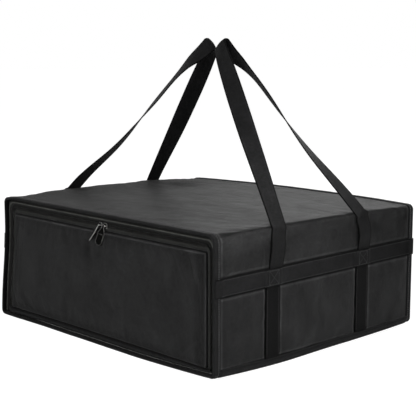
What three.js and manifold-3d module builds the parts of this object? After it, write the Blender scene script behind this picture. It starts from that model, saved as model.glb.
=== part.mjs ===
// A soft insulated carrier bag for flat boxes, with a zipped drop-down front and two long webbing handles.
// Millimetres, +Z up. The zipped front faces -Y and the webbing sides face -X and +X.
// The origin is on the floor, in the middle of the bag.
import * as THREE from "three";
import { mergeVertices } from "three/addons/utils/BufferGeometryUtils.js";
import Module from "manifold-3d";

const wasm = await Module();
wasm.setup();

// Driving sizes of the whole bag
const bagWidth = 490; // over the two webbing sides
const bagDepth = 420; // front edge of the front binding to back edge of the back binding
const bagHeight = 190; // floor to the two top folds
const topCrown = 5; // rise of the top's middle over its folds, at the back
const foldRadius = 16; // the soft folds between top and sides
const cornerLift = 5; // height of the base's four corners off the floor

// Cloth, foam and foil
const clothThickness = 1.2;
const foamThickness = 8;
const foilThickness = 0.8;
const clearance = 0.3; // between any two pieces that touch on the real bag

// Bindings: tape folded round a seam
const bindingThickness = 0.9;
const bindingDepth = 12; // how far the tape reaches over the outside of the cloth
const seamChamfer = 3; // cut-off corner where side and base meet
const baseBindingHeight = 11;
const baseBindingReach = 9; // how far the base binding reaches in under the base

// The front: a recessed zip round three sides of a flap that is hinged at its foot
const zipRecess = 7; // front edge of the binding back to the zip's tape
const tapeThickness = 0.8;
const flapSideMargin = 24; // side of the bag to side of the flap
const flapTopMargin = 25; // top fold down to top of the flap
const flapFoot = 15; // floor to bottom of the flap
const flapProud = 3.5; // flap's edge in front of the zip's tape
const flapPuff = 1.5; // rise of the flap's middle over its edge
const flapFoamThickness = 7;

// The zip
const flapTapeWidth = 7;
const coilWidth = 1.6;
const coilThickness = 2.2;
const zipCornerRadius = 10; // at the outer edge of the flap's tape

// Zip sliders and pulls
const sliderLength = 10;
const sliderWall = 1.2;
const sliderSpacing = 11.2; // between the centres of the two sliders
const crownWindow = 2; // depth of the crown's opening, where the pull's eye turns
const crownBar = 1.2;
const crownLength = 7.6;
const eyeHoleRadius = 1.15;
const eyeWall = 0.85;
const eyeWidth = 2.6;
const pullLength = 28;
const pullWidth = 7.6;
const pullThickness = 1.3;
const pullTiltDegrees = 3; // how far a pull hangs off the flap
const leftPullLeanDegrees = 34; // how far a pull leans to -X as it hangs
const rightPullLeanDegrees = 18;

// Webbing
const webbingWidth = 25;
const webbingThickness = 1.6;
const bandFoot = 107; // floor to the side band's lower edge
const bandSlope = 5; // length over which the band steps on to a strap or a binding
const strapSpacing = 192; // between the centres of the two straps of one side
const handleFootSpacing = 188; // the same where the handle leaves the band
const handleFoldSpacing = 180; // the same where it leaves the top fold
const handleReach = 253; // top folds up to the point that both legs aim at
const handleBow = 2.5; // how far a leg stands off the side between band and fold
const handleBendRadius = 6; // the tight bend at the top of a handle
const rightTipShare = 0.125; // sideways place of a handle's top, as a share of half the width
const leftTipShare = 0.075;
const leftTipDepthShare = 0.05; // its place towards the back, as a share of half the depth
const twistShare = 1.5; // power that delays the quarter turn of a handle's leg
const wallSplayShare = 0.6; // part of a leg's drift towards its partner that happens below the top fold

// Shares of the bag's own sizes
const flatBaseShare = 0.3; // part of the base's half width, and half depth, that stays on the floor
const frontCrownShare = -0.3; // crown at the front binding, as a share of the crown at the back
const liftShare = 1.5; // power of the base's rise towards its corners
const seamSpanShare = 3; // width of the base's step on to its bindings, as a share of the binding's depth

// Places worked out from the sizes
const halfWidth = bagWidth / 2;
const halfDepth = bagDepth / 2;
const foldCentreX = halfWidth - foldRadius;
const foldCentreZ = bagHeight - foldRadius;
const edgeRise = bindingThickness + clearance; // the base's cloth lies on its bindings at the edges
const clothEnd = halfDepth - bindingThickness - clearance; // cloth's front and back edges, inside the bindings
const tapeFront = halfDepth - zipRecess; // distance of the zip's tape from the middle, front face
const tapeBack = tapeFront - tapeThickness;
const foamEnd = tapeBack - clearance;
const rearEnd = tapeFront - clothThickness - clearance; // inner side of the back panel
const insideCloth = clothThickness + clearance;
const padX = halfWidth - insideCloth - foamThickness; // inner face of the side foams
const padTop = insideCloth + foamThickness; // upper face of the base foam
const flapX = halfWidth - flapSideMargin;
const flapTop = bagHeight - flapTopMargin;
const flapFace = tapeFront + flapProud;
const flapFoamFace = flapFace - clothThickness - clearance;
const flapBack = flapFoamFace - flapFoamThickness;
const coilStart = flapTapeWidth + clearance; // offsets of the zip's parts from the flap's edge
const flapCoilEnd = coilStart + coilWidth;
const bodyCoilStart = flapCoilEnd + clearance;
const bodyCoilEnd = bodyCoilStart + coilWidth;
const bodyTapeStart = bodyCoilEnd + clearance;
const zipMiddle = (flapCoilEnd + bodyCoilStart) / 2;
const coilFace = tapeFront - tapeThickness / 2 + coilThickness / 2;
const lipOutside = insideCloth; // the tape's lip lies against the inside of the cloth
const lipInside = lipOutside + tapeThickness;
const bandTop = bandFoot + webbingWidth;
const seamSpan = seamSpanShare * bindingDepth;

// Soft surfaces of the bag

function rise(share) {
  const past = (Math.abs(share) - flatBaseShare) / (1 - flatBaseShare);
  return past > 0 ? Math.min(past, 1) ** liftShare : 0;
}

function alongBag(y) {
  const end = halfDepth - bindingDepth;
  return THREE.MathUtils.clamp(y / end, -1, 1);
}

// Height of the bag's underside over the floor: its corners stand a little off it.
function floorHeight(x, y) {
  const across = x / (halfWidth - bindingDepth);
  return cornerLift * rise(across) * rise(alongBag(y));
}

// Height of the top's outer face between the two folds.
function topHeight(x, y) {
  const across = Math.max(0, 1 - (x / foldCentreX) ** 2);
  const crownShare = THREE.MathUtils.lerp(frontCrownShare, 1, (alongBag(y) + 1) / 2);
  return bagHeight + topCrown * across * crownShare;
}

// Lower face of the base cloth: on the floor in the middle, on the bindings at the edges.
function baseFace(x, y) {
  const fromEdge = Math.min(halfWidth - Math.abs(x), halfDepth - Math.abs(y));
  const onBinding = 1 - THREE.MathUtils.smoothstep(fromEdge, bindingDepth, seamSpan);
  return floorHeight(x, y) + edgeRise * onBinding;
}

// Upper limit for what lies under the wrap's cloth, at a distance below its outer face.
function underTop(x, y, below) {
  const past = Math.abs(x) - foldCentreX;
  if (past <= 0) return topHeight(x, y) - below;
  return foldCentreZ + Math.sqrt((foldRadius - below) ** 2 - past ** 2);
}

// Building solids from rows of points

// A closed body from merged points and the faces between them, with its faces turned out.
function closedBody(points, faces) {
  const loose = new THREE.BufferGeometry();
  loose.setAttribute("position", new THREE.Float32BufferAttribute(points.flatMap((p) => [p.x, p.y, p.z]), 3));
  loose.setIndex(faces.flat());
  const merged = mergeVertices(loose, clearance / 100);
  const index = merged.index.array;
  const kept = [];
  for (let i = 0; i < index.length; i += 3) {
    const [a, b, c] = index.slice(i, i + 3);
    if (a !== b && b !== c && c !== a) kept.push([a, b, c]);
  }
  const place = merged.getAttribute("position");
  const corner = (i) => new THREE.Vector3().fromBufferAttribute(place, i);
  const volume = kept.reduce((sum, [a, b, c]) => sum + corner(a).dot(corner(b).cross(corner(c))), 0);
  merged.setIndex(kept.flatMap(([a, b, c]) => (volume < 0 ? [a, c, b] : [a, b, c])));
  return merged;
}

// Skins a row of sections, each with the same number of points, and fills the first and the last one.
function loft(sections, flatSection = null) {
  const count = sections[0].length;
  const points = sections.flat();
  const faces = [];
  const spans = flatSection ? sections.length - 1 : sections.length;
  for (let i = 0; i < spans; i++) {
    const near = i * count;
    const far = ((i + 1) % sections.length) * count;
    for (let j = 0; j < count; j++) {
      const next = (j + 1) % count;
      faces.push([near + j, far + j, far + next], [near + j, far + next, near + next]);
    }
  }
  if (flatSection) {
    const contour = flatSection.map(([a, b]) => new THREE.Vector2(a, b));
    const start = (sections.length - 1) * count;
    const clockwise = THREE.ShapeUtils.isClockWise(contour);
    for (const [a, b, c] of THREE.ShapeUtils.triangulateShape(contour, [])) {
      const turned = clockwise ? [a, c, b] : [a, b, c];
      faces.push([turned[0], turned[1], turned[2]]);
      faces.push([start + turned[0], start + turned[2], start + turned[1]]);
    }
  }
  return closedBody(points, orientCaps(faces, flatSection ? spans * count * 2 : faces.length));
}

// Turns the end faces so that each shares its edges, the other way round, with the skin beside it.
function orientCaps(faces, skinCount) {
  const skinEdges = new Set();
  for (const [a, b, c] of faces.slice(0, skinCount)) {
    skinEdges.add(a + "_" + b).add(b + "_" + c).add(c + "_" + a);
  }
  const caps = faces.slice(skinCount);
  const sameWay = caps.some(([a, b, c]) => [[a, b], [b, c], [c, a]].some(([p, q]) => skinEdges.has(p + "_" + q)));
  return faces.slice(0, skinCount).concat(sameWay ? caps.map(([a, b, c]) => [a, c, b]) : caps);
}

// A solid between two like grids of points, such as a pad or a puffed panel.
function slab(columns, rows, outside, inside) {
  const points = [];
  for (const face of [outside, inside]) {
    for (const u of columns) for (const v of rows) points.push(face(u, v));
  }
  const wide = columns.length;
  const high = rows.length;
  const at = (layer, i, j) => layer * wide * high + i * high + j;
  const faces = [];
  const quad = (a, b, c, d) => faces.push([a, b, c], [a, c, d]);
  for (let i = 0; i < wide - 1; i++) {
    for (let j = 0; j < high - 1; j++) {
      quad(at(0, i, j), at(0, i + 1, j), at(0, i + 1, j + 1), at(0, i, j + 1));
      quad(at(1, i, j), at(1, i, j + 1), at(1, i + 1, j + 1), at(1, i + 1, j));
    }
    quad(at(0, i, 0), at(1, i, 0), at(1, i + 1, 0), at(0, i + 1, 0));
    quad(at(0, i + 1, high - 1), at(1, i + 1, high - 1), at(1, i, high - 1), at(0, i, high - 1));
  }
  for (let j = 0; j < high - 1; j++) {
    quad(at(0, 0, j + 1), at(1, 0, j + 1), at(1, 0, j), at(0, 0, j));
    quad(at(0, wide - 1, j), at(1, wide - 1, j), at(1, wide - 1, j + 1), at(0, wide - 1, j + 1));
  }
  return closedBody(points, faces);
}

// Evenly spread values from one end to the other, both included.
function spread(from, to, steps) {
  return Array.from({ length: steps + 1 }, (_, i) => from + ((to - from) * i) / steps);
}

// Joining and cutting

function toSolid(geometry) {
  const bare = new THREE.BufferGeometry();
  bare.setAttribute("position", geometry.getAttribute("position"));
  if (geometry.index) bare.setIndex(geometry.index);
  const merged = mergeVertices(bare, clearance / 100);
  return new wasm.Manifold(
    new wasm.Mesh({
      numProp: 3,
      vertProperties: new Float32Array(merged.getAttribute("position").array),
      triVerts: new Uint32Array(merged.index.array),
    }),
  );
}

function toGeometry(solid) {
  const mesh = solid.getMesh();
  const geometry = new THREE.BufferGeometry();
  geometry.setAttribute("position", new THREE.Float32BufferAttribute(mesh.vertProperties, 3));
  geometry.setIndex(Array.from(mesh.triVerts));
  return geometry;
}

function join(...geometries) {
  return toGeometry(geometries.map(toSolid).reduce((whole, piece) => whole.add(piece)));
}

function cut(geometry, ...tools) {
  return toGeometry(tools.map(toSolid).reduce((whole, tool) => whole.subtract(tool), toSolid(geometry)));
}

// A box between two opposite corners.
function boxBetween(low, high) {
  const size = high.map((value, i) => value - low[i]);
  const middle = high.map((value, i) => (value + low[i]) / 2);
  return new THREE.BoxGeometry(...size).translate(...middle);
}

// A flat shape in the front's own plane, as seen from the front, with its front face at a distance before the middle.
function plateFromFront(shape, frontDistance, thickness) {
  const plate = new THREE.ExtrudeGeometry(shape, { depth: thickness, bevelEnabled: false, curveSegments: 8 });
  return plate.rotateX(Math.PI / 2).translate(0, -frontDistance + thickness, 0);
}

// Outlines round the bag

// The outer face of the cloth at one depth, from the right foot over the top to the left foot.
function overTheTop(y, footHeight) {
  const right = [new THREE.Vector2(halfWidth, footHeight)];
  for (const turn of spread(0, Math.PI / 2, 6)) {
    const x = foldCentreX + foldRadius * Math.cos(turn);
    right.push(new THREE.Vector2(x, foldCentreZ + foldRadius * Math.sin(turn)));
  }
  const left = right.map((p) => new THREE.Vector2(-p.x, p.y)).reverse();
  const across = spread(foldCentreX, -foldCentreX, 12).slice(1, -1);
  return [...right, ...across.map((x) => new THREE.Vector2(x, topHeight(x, y))), ...left];
}

// The same as a closed ring: over the top, then back along the base.
function roundTheBag(y) {
  const footHeight = floorHeight(halfWidth, y) + edgeRise + seamChamfer;
  const end = halfWidth - seamChamfer;
  const base = spread(-end, end, 14).map((x) => new THREE.Vector2(x, floorHeight(x, y) + edgeRise));
  return [...overTheTop(y, footHeight), ...base];
}

// For each point of an outline, the step that moves it square to both its neighbours' edges by one unit outwards.
function outwardSteps(outline, closed) {
  return outline.map((point, i) => {
    const before = outline[i - 1] ?? (closed ? outline.at(-1) : null);
    const after = outline[i + 1] ?? (closed ? outline[0] : null);
    const edges = [before && point.clone().sub(before), after && after.clone().sub(point)].filter(Boolean);
    const normals = edges.map((edge) => new THREE.Vector2(edge.y, -edge.x).normalize());
    const sum = normals.reduce((total, normal) => total.clone().add(normal));
    return sum.divideScalar(normals.length === 2 ? 1 + normals[0].dot(normals[1]) : 1);
  });
}

// A section of [out from the cloth, distance before or behind the middle] carried along an outline.
function carriedSections(outline, closed, section) {
  const steps = outwardSteps(outline, closed);
  return outline.map((point, i) =>
    section.map(([out, y]) => new THREE.Vector3(point.x + steps[i].x * out, y, point.y + steps[i].y * out)),
  );
}

// Materials

function material(color, roughness, metalness = 0) {
  return new THREE.MeshStandardMaterial({ color, roughness, metalness });
}

const outerCloth = material(0x2b2b2c, 0.85);
const bindingTape = material(0x222223, 0.8);
const zipTape = material(0x2a2a2b, 0.85);
const zipCoil = material(0x17171a, 0.5);
const blackMetal = material(0x1c1c1f, 0.35, 0.8);
const webbing = material(0x1a1a1b, 0.8);
const foil = material(0xb9bcc0, 0.3, 0.9);
const foam = material(0xe4e4e0, 0.95);

const bag = new THREE.Group();
bag.name = "delivery_bag";

function addPiece(name, geometry, look, parent = bag) {
  const piece = new THREE.Mesh(geometry, look);
  piece.name = name;
  parent.add(piece);
  return piece;
}

// Depths at which the soft pieces have a section
const depthRows = [-clothEnd, ...spread(-(halfDepth - bindingDepth), halfDepth - bindingDepth, 8), clothEnd];
const foamRows = [-foamEnd, ...depthRows.slice(1, -1), rearEnd];

// Body panels

// One cloth: left side, top and right side.
function outerWrap() {
  const sections = depthRows.map((y) => {
    const footHeight = floorHeight(halfWidth, y) + edgeRise + seamChamfer;
    const outline = overTheTop(y, footHeight);
    const steps = outwardSteps(outline, false);
    const inner = outline.map((p, i) => p.clone().addScaledVector(steps[i], -clothThickness));
    return [...outline, ...inner.reverse()].map((p) => new THREE.Vector3(p.x, y, p.y));
  });
  return loft(sections, sections[0].map((p) => [p.x, p.z]));
}

function basePanel() {
  const end = halfWidth - seamChamfer;
  const inside = halfWidth - seamSpan;
  const columns = [-end, -(halfWidth - bindingDepth), ...spread(-inside, inside, 8), halfWidth - bindingDepth, end];
  const inner = halfDepth - seamSpan;
  const rows = [-clothEnd, -(halfDepth - bindingDepth), ...spread(-inner, inner, 6), halfDepth - bindingDepth, clothEnd];
  const under = (x, y) => new THREE.Vector3(x, y, baseFace(x, y));
  const over = (x, y) => new THREE.Vector3(x, y, baseFace(x, y) + clothThickness);
  return slab(columns, rows, under, over);
}

// The back panel's web is recessed as far as the zip is, and its edges turn back into the binding.
function backPanel() {
  const outline = roundTheBag(halfDepth);
  const lip = [
    [-lipOutside, clothEnd],
    [-lipOutside, tapeFront - clothThickness],
    [-lipInside, tapeFront - clothThickness],
    [-lipInside, clothEnd],
  ];
  const corners = carriedSections(outline, true, [[-lipOutside, tapeFront]]);
  const shape = new THREE.Shape(corners.map(([p]) => new THREE.Vector2(p.x, p.z)));
  const plate = plateFromFront(shape, -(tapeFront - clothThickness), clothThickness);
  return join(plate, loft(carriedSections(outline, true, lip)));
}

// Foam pads and liner

function topFoam() {
  const fold = spread(foldCentreX, padX, 2).slice(1);
  const columns = [...fold.map((x) => -x).reverse(), ...spread(-foldCentreX, foldCentreX, 10), ...fold];
  const over = (x, y) => new THREE.Vector3(x, y, underTop(x, y, insideCloth));
  const under = (x, y) => new THREE.Vector3(x, y, topHeight(x, y) - padTop);
  return slab(columns, foamRows, over, under);
}

function sideFoam(side) {
  const inner = padX + clearance;
  const radius = foldRadius - insideCloth;
  const lastTurn = Math.acos((inner - foldCentreX) / radius);
  const shoulder = spread(0, lastTurn, 3).map((turn) => [
    foldCentreX + radius * Math.cos(turn),
    foldCentreZ + radius * Math.sin(turn),
  ]);
  const sections = foamRows.map((y) => {
    const foot = floorHeight(halfWidth, y) + edgeRise + insideCloth;
    const outline = [[inner, foot], [halfWidth - insideCloth, foot + seamChamfer], ...shoulder];
    return outline.map(([x, z]) => new THREE.Vector3(side * x, y, z));
  });
  return loft(sections, sections[0].map((p) => [p.x, p.z]));
}

function baseFoam() {
  const inside = halfWidth - seamSpan;
  const bound = halfWidth - bindingDepth;
  const columns = [-padX, -bound, ...spread(-inside, inside, 8), bound, padX];
  const inner = halfDepth - seamSpan;
  const rows = [-foamEnd, bindingDepth - halfDepth, ...spread(-inner, inner, 6), halfDepth - bindingDepth, rearEnd];
  const under = (x, y) => new THREE.Vector3(x, y, baseFace(x, y) + insideCloth);
  const over = (x, y) => new THREE.Vector3(x, y, padTop);
  return slab(columns, rows, over, under);
}

// The back pad stands between the side pads, on the base pad and under the top pad.
function backFoam() {
  const columns = spread(-padX, padX, 8);
  const low = padTop + clearance;
  const high = (x) => topHeight(x, halfDepth) - padTop - clearance;
  const face = (y) => (x, share) => new THREE.Vector3(x, y, THREE.MathUtils.lerp(low, high(x), share));
  return slab(columns, [0, 1], face(rearEnd), face(rearEnd - foamThickness));
}

const linerBack = rearEnd - foamThickness - clearance;
const linerFoot = padTop + clearance;
const linerTop = topHeight(0, -halfDepth) - padTop - clearance;

function foilLiner() {
  const shell = boxBetween([-padX, -foamEnd, linerFoot], [padX, linerBack, linerTop]);
  const wall = foilThickness;
  const hollow = boxBetween(
    [-padX + wall, -halfDepth, linerFoot + wall],
    [padX - wall, linerBack - wall, linerTop - wall],
  );
  return cut(shell, hollow);
}

// Bindings

// A channel of tape round the front edge (end -1) or the back edge (end 1).
function edgeBinding(end) {
  const outside = clearance + bindingThickness;
  const innerFace = lipInside + clearance;
  const rim = halfDepth;
  const web = halfDepth - bindingThickness;
  const innerLeg = tapeFront + clearance;
  const section = [
    [outside, rim],
    [outside, halfDepth - bindingDepth],
    [clearance, halfDepth - bindingDepth],
    [clearance, web],
    [-innerFace, web],
    [-innerFace, innerLeg],
    [-innerFace - bindingThickness, innerLeg],
    [-innerFace - bindingThickness, rim],
  ];
  const outline = roundTheBag(end * halfDepth);
  return loft(carriedSections(outline, true, section.map(([out, y]) => [out, end * y])));
}

// Tape over the seam between a side and the base, half on each.
function baseBinding(side) {
  const end = halfDepth - bindingDepth - clearance;
  const seam = [
    new THREE.Vector2(halfWidth, baseBindingHeight),
    new THREE.Vector2(halfWidth, seamChamfer),
    new THREE.Vector2(halfWidth - seamChamfer, 0),
    new THREE.Vector2(halfWidth - baseBindingReach, 0),
  ];
  const steps = outwardSteps(seam, false).map((step) => step.negate());
  const near = seam.map((p, i) => p.clone().addScaledVector(steps[i], clearance));
  const far = seam.map((p, i) => p.clone().addScaledVector(steps[i], clearance + bindingThickness));
  const section = [...near, ...far.reverse()].map((p) => [side * p.x, p.y]);
  const sections = spread(-end, end, 10).map((y) =>
    section.map(([x, z]) => new THREE.Vector3(x, y, z + floorHeight(halfWidth, y) + edgeRise)),
  );
  return loft(sections, section);
}

// Cloth strip that joins the base to the flap's foot: a lip in the front binding and a web up to the flap.
const hingeEnd = flapX + bodyCoilEnd;

function flapHinge() {
  const lipHeight = clothThickness + clearance;
  const sections = spread(-hingeEnd, hingeEnd, 14).map((x) => {
    const low = floorHeight(x, -halfDepth) + edgeRise + lipHeight;
    const outline = [
      [clothEnd, low],
      [tapeBack, low],
      [tapeBack, flapFoot - clearance],
      [tapeFront, flapFoot - clearance],
      [tapeFront, low + tapeThickness],
      [clothEnd, low + tapeThickness],
    ];
    return outline.map(([y, z]) => new THREE.Vector3(x, -y, z));
  });
  return loft(sections, sections[0].map((p) => [p.y, p.z]));
}

// The zip

// The zip's course at an offset out from the flap's edge: up the left side, over the top and down the right side.
function zipCourse(offset, radius) {
  const x = flapX + offset;
  const top = flapTop + offset;
  const bend = radius > 0 ? spread(0, Math.PI / 2, 6) : [0];
  const corner = bend.map((turn) => [
    x - radius + radius * (radius > 0 ? Math.cos(turn) : 1),
    top - radius + radius * (radius > 0 ? Math.sin(turn) : 1),
  ]);
  const right = [[x, flapFoot], ...corner];
  const left = right.map(([px, pz]) => [-px, pz]).reverse();
  return [...right, ...left].map(([px, pz]) => new THREE.Vector2(px, pz));
}

function courseRadius(offset) {
  return zipCornerRadius - flapTapeWidth + offset;
}

function zipBand(from, to) {
  const inner = zipCourse(from, from > clearance ? courseRadius(from) : 0);
  return new THREE.Shape([...zipCourse(to, courseRadius(to)), ...inner.reverse()]);
}

function flapZipTape() {
  return plateFromFront(zipBand(clearance, flapTapeWidth), tapeFront, tapeThickness);
}

function zipCoilBand(from, to) {
  return plateFromFront(zipBand(from, to), coilFace, coilThickness);
}

// The body's tape reaches from its coil to the cloth, and turns forward there into the front binding.
function bodyZipTape() {
  const outline = overTheTop(-halfDepth, flapFoot);
  const lip = [
    [-lipOutside, -clothEnd],
    [-lipOutside, -tapeBack],
    [-lipInside, -tapeBack],
    [-lipInside, -clothEnd],
  ];
  const lipSections = carriedSections(outline, false, lip);
  const outer = lipSections.map(([p]) => new THREE.Vector2(p.x, p.z));
  const inner = zipCourse(bodyTapeStart, courseRadius(bodyTapeStart));
  const web = plateFromFront(new THREE.Shape([...outer, ...inner.reverse()]), tapeFront, tapeThickness);
  return join(web, loft(lipSections, lip));
}

// The flap

// A block with a puffed face towards the front, as large as the flap less an inset, between two distances.
function flapBlock(inset, face, back) {
  const x = flapX - inset;
  const low = flapFoot + inset;
  const high = flapTop - inset;
  const front = (u, v) => {
    const puff = flapPuff * (1 - u ** 2) * (1 - v ** 2);
    return new THREE.Vector3(u * x, -(face + puff), THREE.MathUtils.lerp(low, high, (v + 1) / 2));
  };
  const rear = (u, v) => new THREE.Vector3(u * x, -back, THREE.MathUtils.lerp(low, high, (v + 1) / 2));
  return slab(spread(-1, 1, 10), spread(-1, 1, 6), front, rear);
}

function flapCover() {
  const hollow = flapBlock(clothThickness, flapFace - clothThickness, flapBack - flapFoamThickness);
  return cut(flapBlock(0, flapFace, flapBack), hollow);
}

function flapFoam() {
  return flapBlock(clothThickness + clearance, flapFoamFace, flapBack);
}

function flapLiner() {
  const near = flapBack - clearance;
  return boxBetween([-flapX, -near, flapFoot], [flapX, -near + foilThickness, flapTop]);
}

// Sliders and pulls

const zipHeight = flapTop + zipMiddle; // height of the zip's middle line on its top run
const coilHalf = zipMiddle - coilStart; // half the width of the two coils together
const plateBack = coilFace + clearance;
const plateFront = plateBack + sliderWall;
const barBack = plateFront + crownWindow;
const barMiddle = barBack + crownBar / 2;

// A plate with two lips over the coils, and a crown that the pull hangs on. Its own middle is at x 0.
function zipSlider() {
  const half = sliderLength / 2;
  const lipInner = coilHalf + 2 * clearance;
  const lipOuter = lipInner + sliderWall;
  const lipBack = tapeFront + clearance;
  const section = [
    [-lipOuter, lipBack],
    [-lipOuter, plateFront],
    [lipOuter, plateFront],
    [lipOuter, lipBack],
    [lipInner, lipBack],
    [lipInner, plateBack],
    [-lipInner, plateBack],
    [-lipInner, lipBack],
  ];
  const ends = [-half, half].map((x) => section.map(([z, y]) => new THREE.Vector3(x, -y, zipHeight + z)));
  const outer = crownLength / 2;
  const inner = outer - crownBar;
  const root = plateFront - sliderWall / 2;
  const crown = [
    [outer, root],
    [outer, barBack],
    [inner, barBack + crownBar],
    [-inner, barBack + crownBar],
    [-outer, barBack],
    [-outer, root],
    [-inner, root],
    [-inner, barBack],
    [inner, barBack],
    [inner, root],
  ];
  const shape = new THREE.Shape(crown.map(([x, y]) => new THREE.Vector2(x, -y)));
  const arch = new THREE.ExtrudeGeometry(shape, { depth: crownBar, bevelEnabled: false });
  arch.translate(0, 0, zipHeight - crownBar / 2);
  return join(loft(ends, section), arch);
}

// A flat tab with a round end, on an eye that turns on the slider's crown. The eye's centre is its origin.
// The tab leans sideways from a short neck, while the eye stays square to the crown's bar.
function zipPull(leanDegrees) {
  const eyeRadius = eyeHoleRadius + eyeWall;
  const ring = new THREE.Shape().absarc(0, 0, eyeRadius, 0, 2 * Math.PI);
  ring.holes.push(new THREE.Path().absarc(0, 0, eyeHoleRadius, 0, 2 * Math.PI));
  const eye = new THREE.ExtrudeGeometry(ring, { depth: eyeWidth, bevelEnabled: false, curveSegments: 10 });
  eye.rotateY(Math.PI / 2).translate(-eyeWidth / 2, 0, 0);
  const halfNeck = eyeWidth / 2;
  const neckFoot = eyeRadius + eyeWidth;
  const halfThick = pullThickness / 2;
  const neck = boxBetween([-halfNeck, -halfThick, -neckFoot], [halfNeck, halfThick, -eyeHoleRadius - eyeWall / 2]);
  const half = pullWidth / 2;
  const tabStart = neckFoot - halfNeck;
  const straight = pullLength - tabStart - half;
  const tab = new THREE.Shape();
  tab.moveTo(halfNeck, 0);
  tab.lineTo(-halfNeck, 0);
  tab.lineTo(-half, -half);
  tab.lineTo(-half, -straight);
  tab.absarc(0, -straight, half, Math.PI, 2 * Math.PI);
  tab.lineTo(half, -half);
  const plate = new THREE.ExtrudeGeometry(tab, { depth: pullThickness, bevelEnabled: false, curveSegments: 10 });
  plate.translate(0, 0, -halfThick).rotateX(Math.PI / 2);
  plate.rotateY(THREE.MathUtils.degToRad(leanDegrees)).translate(0, 0, -tabStart);
  return join(eye, neck, plate).rotateX(-THREE.MathUtils.degToRad(pullTiltDegrees));
}

// Webbing

// A strip of webbing with a flat rectangular section.
const stripSection = [
  [-webbingWidth / 2, -webbingThickness / 2],
  [webbingWidth / 2, -webbingThickness / 2],
  [webbingWidth / 2, webbingThickness / 2],
  [-webbingWidth / 2, webbingThickness / 2],
];

// Carries that section through stations, each with its place, its direction along the path and its outward normal.
function strip(stations) {
  const sections = stations.map(({ place, along, normal }) => {
    const across = normal.clone().cross(along).normalize();
    const out = along.clone().cross(across).normalize();
    return stripSection.map(([a, b]) => place.clone().addScaledVector(across, a).addScaledVector(out, b));
  });
  return loft(sections, stripSection);
}

const strapMiddle = clearance + webbingThickness / 2; // a strap's middle, out from the side
const overStrap = strapMiddle + webbingThickness + clearance;
const overBinding = strapMiddle + bindingThickness + clearance;

// The side band steps over both straps and over the bindings at its ends.
function sideBand(side) {
  const strapY = strapSpacing / 2;
  const flat = webbingWidth / 2 + 3 * clearance;
  const onBinding = halfDepth - bindingDepth - 3 * clearance;
  const right = [
    [strapY - flat - bandSlope, strapMiddle],
    [strapY - flat, overStrap],
    [strapY + flat, overStrap],
    [strapY + flat + bandSlope, strapMiddle],
    [onBinding - bandSlope, strapMiddle],
    [onBinding, overBinding],
    [halfDepth - bindingThickness, overBinding],
  ];
  const course = [...right.map(([y, out]) => [-y, out]).reverse(), ...right];
  const sections = course.map(([y, out]) => [
    new THREE.Vector3(side * (halfWidth + out - webbingThickness / 2), y, bandFoot),
    new THREE.Vector3(side * (halfWidth + out + webbingThickness / 2), y, bandFoot),
    new THREE.Vector3(side * (halfWidth + out + webbingThickness / 2), y, bandTop),
    new THREE.Vector3(side * (halfWidth + out - webbingThickness / 2), y, bandTop),
  ]);
  return loft(sections, stripSection);
}

function lowerStrap(side, end) {
  const y = (end * strapSpacing) / 2;
  const outerEdge = Math.abs(y) + webbingWidth / 2;
  const foot = floorHeight(halfWidth, outerEdge) + edgeRise + baseBindingHeight + clearance;
  const inner = halfWidth + clearance;
  const low = [side > 0 ? inner : -inner - webbingThickness, y - webbingWidth / 2, foot];
  const high = [side > 0 ? inner + webbingThickness : -inner, y + webbingWidth / 2, bandTop - clearance];
  return boxBetween(low, high);
}

// One leg of a handle, from the band's upper edge to where it leaves the top fold.
function legOnBag(side, end, tip) {
  const middleRadius = foldRadius + strapMiddle;
  const centre = new THREE.Vector2(foldCentreX, foldCentreZ);
  const toTip = new THREE.Vector2(side * tip.x, tip.z).sub(centre);
  const leaving = toTip.angle() - Math.acos(middleRadius / toTip.length());
  const footY = handleFootSpacing / 2;
  const foldY = handleFoldSpacing / 2;
  const wall = spread(bandTop + clearance, foldCentreZ, 4).slice(0, -1);
  const wallShare = (z) => (z - bandTop) / (foldCentreZ - bandTop);
  const onWall = wall.map((z) => ({
    place: new THREE.Vector3(
      side * (halfWidth + strapMiddle + handleBow * Math.sin(Math.PI * wallShare(z)) ** 2),
      end * THREE.MathUtils.lerp(footY, foldY, wallShare(z) * wallSplayShare),
      z,
    ),
    normal: new THREE.Vector3(side, 0, 0),
  }));
  const onFold = spread(0, leaving, 4).map((turn) => ({
    place: new THREE.Vector3(
      side * (foldCentreX + middleRadius * Math.cos(turn)),
      end * THREE.MathUtils.lerp(footY, foldY, THREE.MathUtils.lerp(wallSplayShare, 1, turn / leaving)),
      foldCentreZ + middleRadius * Math.sin(turn),
    ),
    normal: new THREE.Vector3(side * Math.cos(turn), 0, Math.sin(turn)),
  }));
  return [...onWall, ...onFold];
}

// The free stretch of a leg, straight towards the tip, with its face turning a quarter turn on the way.
function freeLeg(from, to, firstNormal, lastNormal) {
  const along = to.clone().sub(from).normalize();
  const square = (v) => v.clone().addScaledVector(along, -v.dot(along)).normalize();
  const start = square(firstNormal);
  const end = square(lastNormal);
  return spread(0, 1, 14).map((share) => {
    const turn = (Math.PI / 2) * share ** twistShare;
    const normal = start.clone().multiplyScalar(Math.cos(turn)).addScaledVector(end, Math.sin(turn));
    return { place: from.clone().lerp(to, share), normal: square(normal) };
  });
}

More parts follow.
